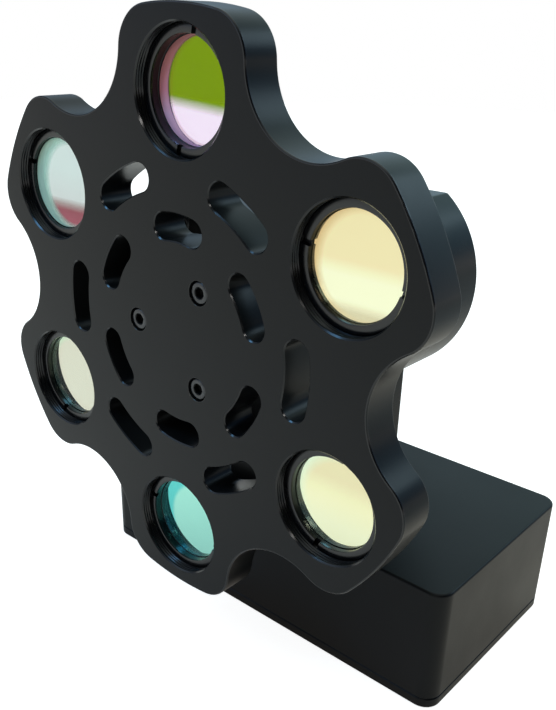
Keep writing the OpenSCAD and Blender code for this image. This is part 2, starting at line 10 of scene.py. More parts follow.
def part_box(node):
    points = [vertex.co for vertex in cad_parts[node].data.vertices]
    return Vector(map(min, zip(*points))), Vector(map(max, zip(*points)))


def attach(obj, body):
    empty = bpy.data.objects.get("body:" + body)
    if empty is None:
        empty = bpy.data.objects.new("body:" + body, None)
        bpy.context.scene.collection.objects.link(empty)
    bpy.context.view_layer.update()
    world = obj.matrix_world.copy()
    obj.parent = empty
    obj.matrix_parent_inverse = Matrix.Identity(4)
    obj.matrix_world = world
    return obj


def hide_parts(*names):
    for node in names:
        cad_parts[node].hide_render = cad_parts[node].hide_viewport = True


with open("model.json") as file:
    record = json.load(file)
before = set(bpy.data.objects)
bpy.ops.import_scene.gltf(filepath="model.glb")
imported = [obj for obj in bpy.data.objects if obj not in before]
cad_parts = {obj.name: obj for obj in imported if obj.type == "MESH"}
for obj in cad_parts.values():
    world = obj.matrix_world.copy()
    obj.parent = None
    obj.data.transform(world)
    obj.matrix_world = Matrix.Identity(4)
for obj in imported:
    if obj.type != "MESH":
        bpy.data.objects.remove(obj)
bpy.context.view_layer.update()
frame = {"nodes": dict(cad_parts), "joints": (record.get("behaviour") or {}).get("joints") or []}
nodes = frame["nodes"]
mm = 0.001
tau = 2 * math.pi
weldWithin = 2e-6
bumpHeight = 0.06  # in mm, of every surface

# The wheel turns about a line along Y; depths are counted rearwards from its front face
spin = next(j for j in frame["joints"] if j["name"] == "wheel_spin")
axisX, axisZ = spin["pos_m"][0], spin["pos_m"][2]
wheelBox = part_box("filter_wheel")
frontY = wheelBox[0].y
wheelT = (wheelBox[1].y - wheelBox[0].y) / mm
stationR = 56.0
parkAngle = math.radians(-2)


def stationPlace(k):
    # Centre of filter k (0 to 5) in mm from the axis: the six lie on one circle, clockwise from the top
    angle = math.pi / 2 + parkAngle - k * tau / 6
    return stationR * math.cos(angle), stationR * math.sin(angle)


def onAxis(points):
    # (across, up, depth) in mm from the axis and the wheel's front face, to metres in the object's frame
    p = np.asarray(points, float) * mm
    return np.stack([p[..., 0] + axisX, p[..., 2] + frontY, p[..., 1] + axisZ], axis=-1)


def onCase(points):
    # (across, back, up) in mm, to metres in the object's frame
    return np.asarray(points, float) * mm


def arc(centre, radius, start, end, count, lastPoint=False):
    # Points on a circle about centre, at equal steps from angle start to angle end
    t = np.linspace(start, end, count, endpoint=lastPoint)
    return np.stack([centre[0] + radius * np.cos(t), centre[1] + radius * np.sin(t)], axis=-1)


def circleLoop(centre, count=96, start=0.0):
    # A circle's points as a function of its radius
    return lambda radius: arc(centre, radius, start, start + tau, count)


def roundRectLoop(centre, width, depth, corner, count=10):
    # A rectangle with round corners, as a function of how far it grows outwards; growth adds to the corner
    # radius
    def loop(grow):
        w, d = width / 2 - corner, depth / 2 - corner
        corners = [(w, d), (-w, d), (-w, -d), (w, -d)]
        parts = [arc((centre[0] + x, centre[1] + y), corner + grow, i * tau / 4, (i + 1) * tau / 4, count, True)
                 for i, (x, y) in enumerate(corners)]
        return np.concatenate(parts)
    return loop


def carry(loops):
    # A closed outline carried along a profile: row i is the outline grown by grow[i] and moved to level[i].
    # loops is a list of (outline points, level); each row keeps the same number of points
    return np.stack([np.column_stack([outline, np.full(len(outline), level)]) for outline, level in loops])


def turnedGrid(profile, count=128, centre=(0.0, 0.0)):
    # A profile of (radius, depth) turned about a line along the depth: the point at angle t is (radius cos t,
    # radius sin t, depth)
    p = np.asarray(profile, float)
    t = np.linspace(0, tau, count, endpoint=False)
    x = centre[0] + p[:, :1] * np.cos(t)
    y = centre[1] + p[:, :1] * np.sin(t)
    return np.stack([x, y, np.broadcast_to(p[:, 1:2], x.shape)], axis=-1)


def gridFaces(rows, columns, closeRows=False):
    # Four-sided faces of a grid that closes on itself along its columns
    i = np.arange(rows if closeRows else rows - 1)[:, None]
    j = np.arange(columns)[None, :]
    nextRow = (i + 1) % rows
    nextColumn = (j + 1) % columns
    corners = [i * columns + j, i * columns + nextColumn, nextRow * columns + nextColumn, nextRow * columns + j]
    return np.stack([np.broadcast_to(c, (len(i), columns)) for c in corners], axis=-1).reshape(-1, 4)


def shell(grid, closeRows=False, capStart=False, capEnd=False):
    # One surface: its points, and its faces as lists. A cap closes the first or last row with one flat face
    rows, columns = grid.shape[:2]
    faces = gridFaces(rows, columns, closeRows).tolist()
    if capStart:
        faces.append(list(range(columns))[::-1])
    if capEnd:
        faces.append([(rows - 1) * columns + j for j in range(columns)])
    return grid.reshape(-1, 3), faces


def insideLoop(points, loop):
    # Even-odd test: which points lie inside a closed outline
    a, b = loop, np.roll(loop, -1, axis=0)
    px, py = points[:, 0][:, None], points[:, 1][:, None]
    crosses = (a[None, :, 1] > py) != (b[None, :, 1] > py)
    rise = np.where(b[:, 1] == a[:, 1], 1e-12, b[:, 1] - a[:, 1])
    at = a[:, 0] + (py - a[:, 1]) * (b[:, 0] - a[:, 0]) / rise
    return (np.sum(crosses & (px < at), axis=1) % 2) == 1


def flatFace(outer, holes, level):
    # A flat face between an outer outline and its holes, triangulated between the outlines' own points
    loops = [outer] + list(holes)
    points = np.concatenate(loops)
    edges, start = [], 0
    for loop in loops:
        n = len(loop)
        edges += [(start + i, start + (i + 1) % n) for i in range(n)]
        start += n
    found = geometry.delaunay_2d_cdt([Vector(p) for p in points], edges, [], 1, 1e-6)
    flat = np.array([tuple(v) for v in found[0]])
    triangles = np.array([list(f) for f in found[2]])
    middle = flat[triangles].mean(axis=1)
    keep = np.ones(len(triangles), bool)
    for hole in holes:
        keep &= ~insideLoop(middle, hole)
    return np.column_stack([flat, np.full(len(flat), level)]), triangles[keep].tolist()


def plate(outer, outerProfile, holes):
    # A plate with holes: each outline is carried along its own edge profile of (growth, level), and the two
    # flat faces lie between the profiles' ends. holes is a list of (outline function, profile)
    parts = [shell(carry([(outer(g), level) for g, level in outerProfile]))]
    for loop, profile in holes:
        parts.append(shell(carry([(loop(g), level) for g, level in profile])))
    for end in (0, -1):
        level = outerProfile[end][1]
        through = [loop(profile[end][0]) for loop, profile in holes if abs(profile[end][1] - level) < 1e-6]
        parts.append(flatFace(outer(outerProfile[end][0]), through, level))
    return parts


def makePiece(name, parts, place, material, sharp=30):
    # Joins surfaces into one mesh, in the object's frame, with smooth shading up to a sharp angle
    points, faces, start = [], [], 0
    for partPoints, partFaces in parts:
        points.append(place(partPoints))
        faces += [[start + i for i in face] for face in partFaces]
        start += len(partPoints)
    mesh = bpy.data.meshes.new(name)
    mesh.from_pydata(np.concatenate(points).tolist(), [], faces)
    work = bmesh.new()
    work.from_mesh(mesh)
    bmesh.ops.remove_doubles(work, verts=work.verts, dist=weldWithin)
    bmesh.ops.recalc_face_normals(work, faces=work.faces)
    work.to_mesh(mesh)
    work.free()
    mesh.shade_smooth()
    mesh.set_sharp_from_angle(angle=math.radians(sharp))
    mesh.materials.append(finish[material] if isinstance(material, str) else material)
    piece = bpy.data.objects.new(name, mesh)
    bpy.context.scene.collection.objects.link(piece)
    return piece


def weighNormals(piece):
    # Lets large flat faces keep their own normal, so that only the rounded edges between them shade softly
    weigh = piece.modifiers.new("weighNormals", "WEIGHTED_NORMAL")
    weigh.weight = 100
    weigh.keep_sharp = True


def finishEdges(piece, material):
    # Gives the broken edges round a front face, which look partly forwards, their own, smoother finish
    mesh = piece.data
    normals = np.empty(len(mesh.polygons) * 3)
    mesh.polygons.foreach_get("normal", normals)
    forwards = -normals.reshape(-1, 3)[:, 1]
    mesh.materials.append(finish[material])
    edges = (forwards > wheel["edgeLooks"][0]) & (forwards < wheel["edgeLooks"][1])
    mesh.polygons.foreach_set("material_index", edges.astype(np.int32))


def hand(piece, body, slot, *replaced):
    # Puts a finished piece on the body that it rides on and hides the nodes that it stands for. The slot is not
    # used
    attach(piece, body)
    if replaced:
        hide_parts(*replaced)
    return piece


def addPiece(name, parts, place, material, body, slot, *replaced, sharp=30, weigh=False):
    piece = makePiece(name, parts, place, material, sharp)
    if weigh:
        weighNormals(piece)
    return hand(piece, body, slot, *replaced)


def capped(grid):
    return shell(grid, capStart=True, capEnd=True)


def edgeArc(radius, steps=3):
    # (inset, drop) pairs round a quarter circle, from the face to the side of a rounded edge
    t = np.linspace(0, math.pi / 2, steps + 1)
    return [(radius * (1 - math.sin(a)), radius * (1 - math.cos(a))) for a in t]


def feed(tree, socket, value):
    # Links an output to a socket, or sets the socket to a value; a colour gets its alpha
    if isinstance(value, bpy.types.NodeSocket):
        tree.links.new(value, socket)
    else:
        socket.default_value = (*value, 1) if socket.type == "RGBA" else value


def addNode(tree, kind, given=None, **settings):
    # A shader node with its settings, and what its sockets are given
    node = tree.nodes.new("ShaderNode" + kind)
    for name, value in settings.items():
        setattr(node, name, value)
    for socket, value in (given or {}).items():
        feed(tree, node.inputs[socket], value)
    return node


def calc(tree, operation, a, b=0.0):
    return addNode(tree, "Math", {0: a, 1: b}, operation=operation).outputs[0]


def mixColors(tree, share, a, b):
    return addNode(tree, "Mix", {"Factor": share, "A": a, "B": b}, data_type="RGBA").outputs["Result"]


def newGroup(name, inputs, outputs):
    # A node group of numbers: its inputs with their first values, and its outputs
    group = bpy.data.node_groups.new(name, "ShaderNodeTree")
    for label, value in inputs.items():
        group.interface.new_socket(label, in_out="INPUT", socket_type="NodeSocketFloat").default_value = value
    for label in outputs:
        group.interface.new_socket(label, in_out="OUTPUT", socket_type="NodeSocketFloat")
    return group, group.nodes.new("NodeGroupInput").outputs, group.nodes.new("NodeGroupOutput").inputs


def addRange(tree, value, low, high, fromLow=0.3, fromHigh=0.7):
    return addNode(tree, "MapRange", {"Value": value, "From Min": fromLow, "From Max": fromHigh,
                                      "To Min": low, "To Max": high}).outputs["Result"]


# Surfaces: the input and scale of the fine grain, the scale and roughness of the cloudy patches, and whether the
# grain is lines that follow a turning tool, which change with depth only
surfaceKinds = {"blasted": {"grain": "Grain", "scale": 1700.0, "patch": 45.0, "patchRough": 0.5, "lines": False},
                "turned": {"grain": "Pitch", "scale": 2600.0, "patch": 60.0, "patchRough": 0.55, "lines": True}}


def surfaceGroup(name):
    # Grain as a height, and patches that change tone and roughness
    kind = surfaceKinds[name]
    group, given, out = newGroup(name + "Metal", {kind["grain"]: kind["scale"], "Rough": 0.4, "Spread": 0.05},
                                 ("Height", "Roughness", "Tone"))
    place = addNode(group, "TexCoord").outputs["Object"]
    along = place
    if kind["lines"]:
        depth = addNode(group, "SeparateXYZ", {0: place}).outputs["Y"]
        along = addNode(group, "CombineXYZ", {"Y": depth}).outputs[0]
    grain = addNode(group, "TexNoise", {"Vector": along, "Scale": given[kind["grain"]], "Detail": 2.0})
    patch = addNode(group, "TexNoise", {"Vector": place, "Scale": kind["patch"], "Detail": 4.0,
                                        "Roughness": kind["patchRough"]}).outputs["Fac"]
    low, high = [calc(group, sign, given["Rough"], given["Spread"]) for sign in ("SUBTRACT", "ADD")]
    feed(group, out["Height"], grain.outputs["Fac"])
    feed(group, out["Roughness"], addRange(group, patch, low, high))
    feed(group, out["Tone"], addRange(group, patch, 0.0, 1.0))
    return group


surfaceGroups = {name: surfaceGroup(name) for name in surfaceKinds}


def newMaterial(name, color, rough=0.4, metal=0.0, specular=0.5, **more):
    # A plain Principled material; more holds further sockets by name
    material = bpy.data.materials.new(name)
    material.use_nodes = True
    shader = material.node_tree.nodes["Principled BSDF"]
    shader.inputs["Base Color"].default_value = (*color, 1)
    shader.inputs["Roughness"].default_value = rough
    shader.inputs["Metallic"].default_value = metal
    shader.inputs["Specular IOR Level"].default_value = specular
    for socket, value in more.items():
        shader.inputs[socket.replace("_", " ")].default_value = value
    material.diffuse_color = (*color, 1)
    return material


def makeFinish(name, surface=None, grain=None, **looks):
    # A material, and over it a surface whose tone moves the colour between two shades and whose height bumps it
    material = newMaterial(name, **looks)
    if surface is None:
        return material
    kind, shade, rough, spread, bump = surface
    tree = material.node_tree
    shader = tree.nodes["Principled BSDF"].inputs
    given = {surfaceKinds[kind]["grain"]: grain or surfaceKinds[kind]["scale"], "Rough": rough, "Spread": spread}
    group = addNode(tree, "Group", given, node_tree=surfaceGroups[kind]).outputs
    color = tuple(shader["Base Color"].default_value)[:3]
    shades = [tuple(c * share for c in color) for share in (1 - shade, 1 + shade)]
    feed(tree, shader["Base Color"], mixColors(tree, group["Tone"], *shades))
    feed(tree, shader["Roughness"], group["Roughness"])
    height = addNode(tree, "Bump", {"Height": group["Height"], "Strength": bump, "Distance": bumpHeight * mm})
    feed(tree, shader["Normal"], height.outputs["Normal"])
    return material


# Finishes: colour, how they mirror, and the surface's kind, change of tone, roughness, its spread and its bump
finishTable = {
    "wheelBlack": {"color": (0.0070, 0.0069, 0.0068), "specular": 0.175,
                   "surface": ("blasted", 0.10, 0.33, 0.04, 0.12)},
    "edgeBlack": {"color": (0.0075, 0.0074, 0.0073), "rough": 0.20, "specular": 0.42},
    "caseBlack": {"color": (0.0062, 0.0065, 0.0070), "specular": 0.15,
                  "surface": ("blasted", 0.10, 0.36, 0.04, 0.16)},
    "housingBlack": {"color": (0.0060, 0.0064, 0.0069), "specular": 0.15,
                     "surface": ("blasted", 0.10, 0.28, 0.04, 0.10), "grain": 2200.0},
    "turnedBlack": {"color": (0.0060, 0.0064, 0.0069), "specular": 0.15,
                    "surface": ("turned", 0.12, 0.32, 0.05, 0.25)},
    "ringBlack": {"color": (0.0032, 0.0033, 0.0040), "surface": ("turned", 0.12, 0.26, 0.05, 0.20),
                  "grain": 6000.0},
    "mountBlack": {"color": (0.0032, 0.0033, 0.0040), "specular": 0.4,
                   "surface": ("blasted", 0.10, 0.40, 0.05, 0.15)},
    "screwBlack": {"color": (0.020, 0.020, 0.022), "specular": 0.55,
                   "surface": ("blasted", 0.25, 0.30, 0.06, 0.25), "grain": 3000.0},
    # Painted shade for the inside of the screws' sockets
    "socketBlack": {"color": (0.004, 0.004, 0.004), "rough": 0.5, "specular": 0.10},
    "brightSteel": {"color": (0.60, 0.60, 0.61), "metal": 1.0, "surface": ("turned", 0.06, 0.24, 0.06, 0.25)},
    "lamination": {"color": (0.34, 0.35, 0.37), "metal": 1.0, "surface": ("turned", 0.15, 0.40, 0.08, 0.8),
                   "grain": 1500.0},
    "nickelMagnet": {"color": (0.62, 0.60, 0.56), "metal": 1.0, "surface": ("blasted", 0.06, 0.26, 0.05, 0.2)},
    "copperWire": {"color": (0.68, 0.26, 0.10), "metal": 1.0, "Coat_Weight": 0.6,
                   "surface": ("turned", 0.20, 0.35, 0.08, 1.0), "grain": 1800.0},
    "bearingBrass": {"color": (0.70, 0.48, 0.20), "metal": 1.0, "surface": ("turned", 0.08, 0.30, 0.06, 0.3)},
    "boardGreen": {"color": (0.012, 0.11, 0.045), "Coat_Weight": 0.3,
                   "surface": ("blasted", 0.15, 0.35, 0.06, 0.2), "grain": 900.0},
    "chipBlack": {"color": (0.018, 0.018, 0.019), "surface": ("blasted", 0.2, 0.48, 0.06, 0.4)},
    "canSilver": {"color": (0.55, 0.56, 0.58), "metal": 1.0, "surface": ("turned", 0.05, 0.3, 0.05, 0.2)},
    "headerIvory": {"color": (0.72, 0.68, 0.56), "surface": ("blasted", 0.06, 0.42, 0.05, 0.2)},
    "leadJacket": {"color": (0.020, 0.020, 0.022), "surface": ("blasted", 0.15, 0.5, 0.06, 0.3)},
}
finish = {name: makeFinish(name, **looks) for name, looks in finishTable.items()}


# One filter, in mm: its mount's profile of (radius, depth), its glass with a small bevel at each edge, the radius
# of the films in front of the glass with the gaps between them, and the height that the painted reflection colours
# are spread over
filterPart = {"mount": [(11.7, 5.1), (11.8, 5.0), (12.4, 5.0), (12.5, 5.1), (12.5, 8.35), (12.35, 8.5),
                        (11.8, 8.5), (11.7, 8.4), (11.7, 8.0), (12.0, 8.0), (12.0, 5.4), (11.7, 5.4)],
              "glassR": 11.67, "glassBack": 7.98, "bevel": 0.12, "filmR": 11.6, "filmGap": 0.02,
              "groundGap": 0.01, "span": 24.0}


def acrossFilterGroup():
    # Where a point lies on a filter, which places its painted reflections: its height over the disc from 0 to 1,
    # and a mask of the crescent, a painted reflection of the glass's side, that a circle of the disc's size leaves
    # free when it is shifted sideways
    group, given, out = newGroup("acrossFilter", {"CentreX": 0.0, "CentreZ": 0.0, "Shift": 0.0015, "Soft": 0.0008,
                                                  "Tilt": 0.0}, ("Height", "Side"))
    place = addNode(group, "SeparateXYZ", {0: addNode(group, "TexCoord").outputs["Object"]}).outputs
    across = calc(group, "SUBTRACT", place["X"], given["CentreX"])
    up = calc(group, "SUBTRACT", place["Z"], given["CentreZ"])
    shifted = calc(group, "SUBTRACT", across, given["Shift"])
    squares = [calc(group, "MULTIPLY", value, value) for value in (shifted, up)]
    far = calc(group, "SQRT", calc(group, "ADD", *squares))
    side = calc(group, "DIVIDE", calc(group, "SUBTRACT", far, filterPart["filmR"] * mm), given["Soft"])
    mask = addNode(group, "Clamp", {"Value": calc(group, "ADD", side, 0.5)})
    level = calc(group, "ADD", up, calc(group, "MULTIPLY", across, given["Tilt"]))
    feed(group, out["Side"], mask.outputs[0])
    feed(group, out["Height"], calc(group, "ADD", calc(group, "DIVIDE", level, filterPart["span"] * mm), 0.5))
    return group


acrossFilter = acrossFilterGroup()

# Each filter: what it lets through and what its coating mirrors, both as (height in mm, colour) stops that paint
# the reflections changing down the disc, the painted colours of the crescent on its left (a painted reflection of
# the glass's side) with its width, the share that the coating mirrors, and the coating's depth
filterLooks = [
    {"through": [(-4.4, (0.75, 0.75, 0.95)), (-1.8, (0.22, 0.36, 0.002))],
     "mirror": [(-4.4, (0.94, 0.74, 0.92)), (-1.8, (0.17, 0.28, 0.004))],
     "sideThrough": [(-5.0, (1.0, 0.50, 1.0)), (-0.5, (0.27, 0.10, 0.13))],
     "sideMirror": [(-6.0, (0.92, 0.46, 0.90)), (-1.0, (0.24, 0.085, 0.11)), (6.0, (0.19, 0.07, 0.07))],
     "ground": [(-6.0, (1.0, 0.54, 0.68)), (-1.0, (1.0, 0.34, 0.40)), (6.0, (0.82, 0.29, 0.27))],
     "groundShare": 0.95, "tilt": 0.07, "width": 2.9, "soft": 0.5, "share": 0.68, "sideShare": 0.9,
     "metal": 1.0, "depth": 5.42},
    {"through": [(0, (0.90, 0.80, 0.45))],
     "mirror": [(-9.8, (0.74, 0.66, 0.42)), (-7.5, (0.99, 0.98, 0.67)), (-2.4, (0.99, 0.98, 0.67)),
                (0.9, (0.92, 0.80, 0.47))],
     "sideMirror": [(0, (0.71, 0.50, 0.24))], "width": 1.9, "soft": 2.2, "share": 0.95,
     "metal": 0.9, "depth": 3.95},
    {"through": [(0, (0.80, 0.85, 0.60))],
     "mirror": [(-6.0, (0.99, 0.99, 0.66)), (1.5, (0.97, 0.92, 0.56)), (6.0, (0.87, 0.78, 0.47))],
     "sideMirror": [(0, (0.80, 0.93, 0.68))], "width": 2.0, "soft": 3.0, "share": 0.96,
     "metal": 0.9, "depth": 4.5},
    {"through": [(0, (0.30, 0.80, 0.78))], "mirror": [(0, (0.44, 0.93, 0.77))],
     "sideMirror": [(0, (0.13, 0.72, 0.67))], "width": 5.0, "soft": 1.2, "share": 0.92,
     "metal": 0.87, "depth": 5.05},
    {"through": [(0, (0.16, 0.36, 0.32))], "mirror": [(0, (0.73, 0.69, 0.55))],
     "sideMirror": [(0, (0.62, 0.78, 0.56))], "width": 2.2, "soft": 1.8, "share": 0.93,
     "metal": 0.88, "depth": 4.45},
    {"through": [(0, (0.16, 0.40, 0.36))],
     "mirror": [(-9.8, (0.35, 0.08, 0.12)), (-7.0, (0.30, 0.07, 0.10)), (-5.4, (0.39, 0.30, 0.30)),
                (-3.8, (0.63, 0.67, 0.68)), (4.0, (0.65, 0.74, 0.74))],
     "sideMirror": [(0, (0.42, 0.80, 0.70))], "ground": [(0, (0.80, 1.0, 0.76))], "groundShare": 0.7,
     "width": 4.2, "soft": 3.2, "share": 0.94, "metal": 0.92, "depth": 3.9},
]


def stopsOver(tree, height, stops):
    # Painted reflection colours that change with height over a filter, at the given heights in mm
    ramp = addNode(tree, "ValToRGB", {"Fac": height})
    elements = ramp.color_ramp.elements
    if len(stops) == 1:
        stops = stops * 2
    while len(elements) < len(stops):
        elements.new(0.5)
    for element, (up, color) in zip(elements, stops):
        element.position = 0.5 + up / filterPart["span"]
        element.color = (*color, 1)
    return ramp.outputs["Color"]


def overFilter(tree, k, look):
    # Adds the position group to a filter's material, with that filter's centre and crescent
    centre = stationPlace(k)
    given = {"CentreX": axisX + centre[0] * mm, "CentreZ": axisZ + centre[1] * mm, "Shift": look["width"] * mm,
             "Soft": look["soft"] * mm, "Tilt": look.get("tilt", 0.0)}
    spot = addNode(tree, "Group", given, node_tree=acrossFilter)
    return spot.outputs["Height"], spot.outputs["Side"]


def filterMaterials(k):
    look = filterLooks[k]
    glass = newMaterial(f"filterGlass{k + 1}", look["through"][0][1], rough=0.0, Transmission_Weight=1.0, IOR=1.5)
    coat = newMaterial(f"filterCoating{k + 1}", look["mirror"][0][1], rough=0.03, metal=look["metal"],
                       Alpha=look["share"])
    # The crescent's colours are a painted reflection, mixed in over the inner colours by the side mask
    for material, inner, crescent in ((glass, "through", "sideThrough"), (coat, "mirror", "sideMirror")):
        if crescent not in look:
            continue
        tree = material.node_tree
        shader = tree.nodes["Principled BSDF"].inputs
        height, side = overFilter(tree, k, look)
        colors = [stopsOver(tree, height, look[part]) for part in (inner, crescent)]
        feed(tree, shader["Base Color"], mixColors(tree, side, *colors))
        if inner == "mirror" and "sideShare" in look:
            feed(tree, shader["Alpha"], addRange(tree, side, look["share"], look["sideShare"], 0.0, 1.0))
    if "ground" not in look:
        return glass, coat, None
    # A film over the crescent that scatters light, in painted colours that stand for the glass's side seen at an
    # angle, a painted reflection
    ground = newMaterial(f"filterGround{k + 1}", look["ground"][0][1], rough=0.35)
    tree = ground.node_tree
    shader = tree.nodes["Principled BSDF"].inputs
    height, side = overFilter(tree, k, look)
    feed(tree, shader["Base Color"], stopsOver(tree, height, look["ground"]))
    feed(tree, shader["Alpha"], addRange(tree, side, 0.0, look["groundShare"], 0.0, 1.0))
    return glass, coat, ground


wheel = {"lobeR": 74.0, "cornerR": 10.0, "valleyR": 18.0, "valleyAt": 75.2, "edge": 0.45, "rearEdge": 0.4,
         "innerSlot": (26.4, 6.5, 10.3), "outerSlot": (38.2, 6.9, 9.5), "slotEdge": 0.3, "holeEdge": 0.3,
         "cellR": 14.05, "cellDepth": 5.0, "threadPitch": 0.75, "threadHeight": 0.22,
         "seatR": 12.55, "seatDepth": 8.5, "exitR": 11.5, "cellEdge": 0.35, "screwR": 14.35,
         "arcPoints": 18, "edgeLooks": (0.2, 0.985)}


def lobedOutline(inset):
    # Outline of the wheel moved inwards by inset. Each sixth is an end arc about the axis, a corner arc that
    # touches it, a valley arc that curves the other way, and the next corner arc; moving the outline changes
    # only the four radii
    w = wheel
    cornerAt = w["lobeR"] - w["cornerR"]
    reach = w["valleyR"] + w["cornerR"]
    between = math.acos((cornerAt ** 2 + w["valleyAt"] ** 2 - reach ** 2) / (2 * cornerAt * w["valleyAt"]))
    lean = math.pi / 6 - between
    n = w["arcPoints"]
    parts = []
    for k in range(6):
        turn = math.pi / 2 + parkAngle + k * tau / 6
        first = turn + lean
        second = turn + tau / 6 - lean
        middle = turn + math.pi / 6
        cornerA = np.array([math.cos(first), math.sin(first)]) * cornerAt
        cornerB = np.array([math.cos(second), math.sin(second)]) * cornerAt
        valley = np.array([math.cos(middle), math.sin(middle)]) * w["valleyAt"]
        towardsA = math.atan2(*(cornerA - valley)[::-1])
        towardsB = math.atan2(*(cornerB - valley)[::-1])
        if towardsB > towardsA:
            towardsB -= tau
        endA = towardsA + math.pi
        endA -= tau * round((endA - first) / tau)
        startB = towardsB + math.pi
        startB -= tau * round((startB - second) / tau)
        parts.append(arc((0, 0), w["lobeR"] - inset, turn - lean, first, n))
        parts.append(arc(cornerA, w["cornerR"] - inset, first, endA, n))
        parts.append(arc(valley, w["valleyR"] + inset, towardsA, towardsB, 2 * n))
        parts.append(arc(cornerB, w["cornerR"] - inset, startB, second, n))
    return np.concatenate(parts)


def slotLoop(slot, middle):
    # A curved slot as a function of how far it grows: two arcs about the axis joined by two half circles
    radius, width, half = slot[0], slot[1], math.radians(slot[2])

    def loop(grow):
        r = width / 2 + grow
        ends = [(radius * math.cos(middle + s * half), radius * math.sin(middle + s * half)) for s in (1, -1)]
        return np.concatenate([
            arc((0, 0), radius + r, middle - half, middle + half, 20),
            arc(ends[0], r, middle + half, middle + half + math.pi, 16),
            arc((0, 0), radius - r, middle + half, middle - half, 20),
            arc(ends[1], r, middle - half + math.pi, middle - half + tau, 16)])
    return loop


def threadGrid(centre, radius, start, end, pitch, height, turns=144, stepsPerPitch=10):
    # Thread in a bore: the radius is a triangle wave of (depth / pitch - turn), so that its ridge is a helix, and
    # it fades out over the first and last third of a pitch
    depth = np.linspace(start, end, int((end - start) / pitch * stepsPerPitch))[:, None]
    t = np.linspace(0, tau, turns, endpoint=False)[None, :]
    phase = (depth / pitch - t / tau) % 1.0
    wave = 1 - np.abs(2 * phase - 1)
    fade = np.clip(np.minimum(depth - start, end - depth) / (pitch / 3), 0, 1)
    r = radius + height * wave * fade
    x, y = centre[0] + r * np.cos(t), centre[1] + r * np.sin(t)
    return np.stack([x, y, np.broadcast_to(depth, r.shape)], axis=-1)


def makeWheel():
    w = wheel
    rearHole = [(i, wheelT - d) for i, d in edgeArc(w["holeEdge"])[::-1]]
    outerProfile = edgeArc(w["edge"]) + [(i, wheelT - d) for i, d in edgeArc(w["rearEdge"])[::-1]]
    slotProfile = [(w["slotEdge"], 0), (0, w["slotEdge"])] + rearHole
    holes = []
    for k in range(6):
        turn = math.pi / 2 + parkAngle + k * tau / 6
        holes.append((slotLoop(w["innerSlot"], turn), slotProfile))
        holes.append((slotLoop(w["outerSlot"], turn + tau / 12), slotProfile))
    for k in range(3):
        turn = math.radians(60 + 120 * k) + parkAngle
        centre = (w["screwR"] * math.cos(turn), w["screwR"] * math.sin(turn))
        holes.append((circleLoop(centre, 64), screwBore(0.0, wheelT)))
    cells = []
    for k in range(6):
        centre = stationPlace(k)
        loop = circleLoop(centre, 144)
        holes.append((loop, [(w["cellR"] + w["cellEdge"], 0), (w["cellR"], w["cellEdge"])]))
        cells.append(shell(threadGrid(centre, w["cellR"], w["cellEdge"], w["cellDepth"], w["threadPitch"],
                                      w["threadHeight"])))
        rear = [(w["cellR"], w["cellDepth"]), (w["seatR"], w["cellDepth"]), (w["seatR"], w["seatDepth"]),
                (w["exitR"], w["seatDepth"])] + [(w["exitR"] + i, d) for i, d in rearHole]
        holes.append((loop, rear))
    piece = makePiece("wheelDisc", plate(lobedOutline, outerProfile, holes) + cells, onAxis, "wheelBlack")
    finishEdges(piece, "edgeBlack")
    weighNormals(piece)
    hand(piece, "wheel", "wheel_anodised", "filter_wheel")


ring = {"outerR": 13.95, "innerR": 11.8, "front": 2.7, "back": 5.0, "slotW": 1.4, "slotDepth": 1.0, "edge": 0.18,
        "firstSlot": 78, "slotTurn": 88}


def slottedRing(centre, slotAngle):
    # Retaining ring: a rectangular section with rounded edges carried round the axis. Columns beside a
    # spanner slot keep a constant distance from the slot's centre line, and inside it the front edge drops to
    # its floor
    r = ring
    e = r["edge"]
    rise = [(r["innerR"], r["back"]), (r["innerR"], None), (r["innerR"], r["front"] + e),
            (r["innerR"] + e * 0.3, r["front"] + e * 0.3), (r["innerR"] + e, r["front"]),
            (r["outerR"] - e, r["front"]), (r["outerR"] - e * 0.3, r["front"] + e * 0.3),
            (r["outerR"], r["front"] + e), (r["outerR"], None), (r["outerR"], r["back"])]
    floor = r["front"] + r["slotDepth"]
    radius = np.array([p[0] for p in rise])
    top = np.array([floor if p[1] is None else p[1] for p in rise])
    sunk = np.array([floor if p[1] is None else max(p[1], floor) for p in rise])
    lean = np.arcsin(r["slotW"] / 2 / radius)
    columns, depths = [], []
    for half in (0.0, math.pi):
        for side, depth in ((-1, top), (-1, sunk), (1, sunk), (1, top)):
            columns.append(slotAngle + half + side * lean)
            depths.append(depth)
        for share in np.linspace(0, 1, 62)[1:-1]:
            columns.append(slotAngle + half + lean + share * (math.pi - 2 * lean))
            depths.append(top)
    angle, depth = np.array(columns).T, np.array(depths).T
    x = centre[0] + radius[:, None] * np.cos(angle)
    y = centre[1] + radius[:, None] * np.sin(angle)
    return np.stack([x, y, depth], axis=-1)


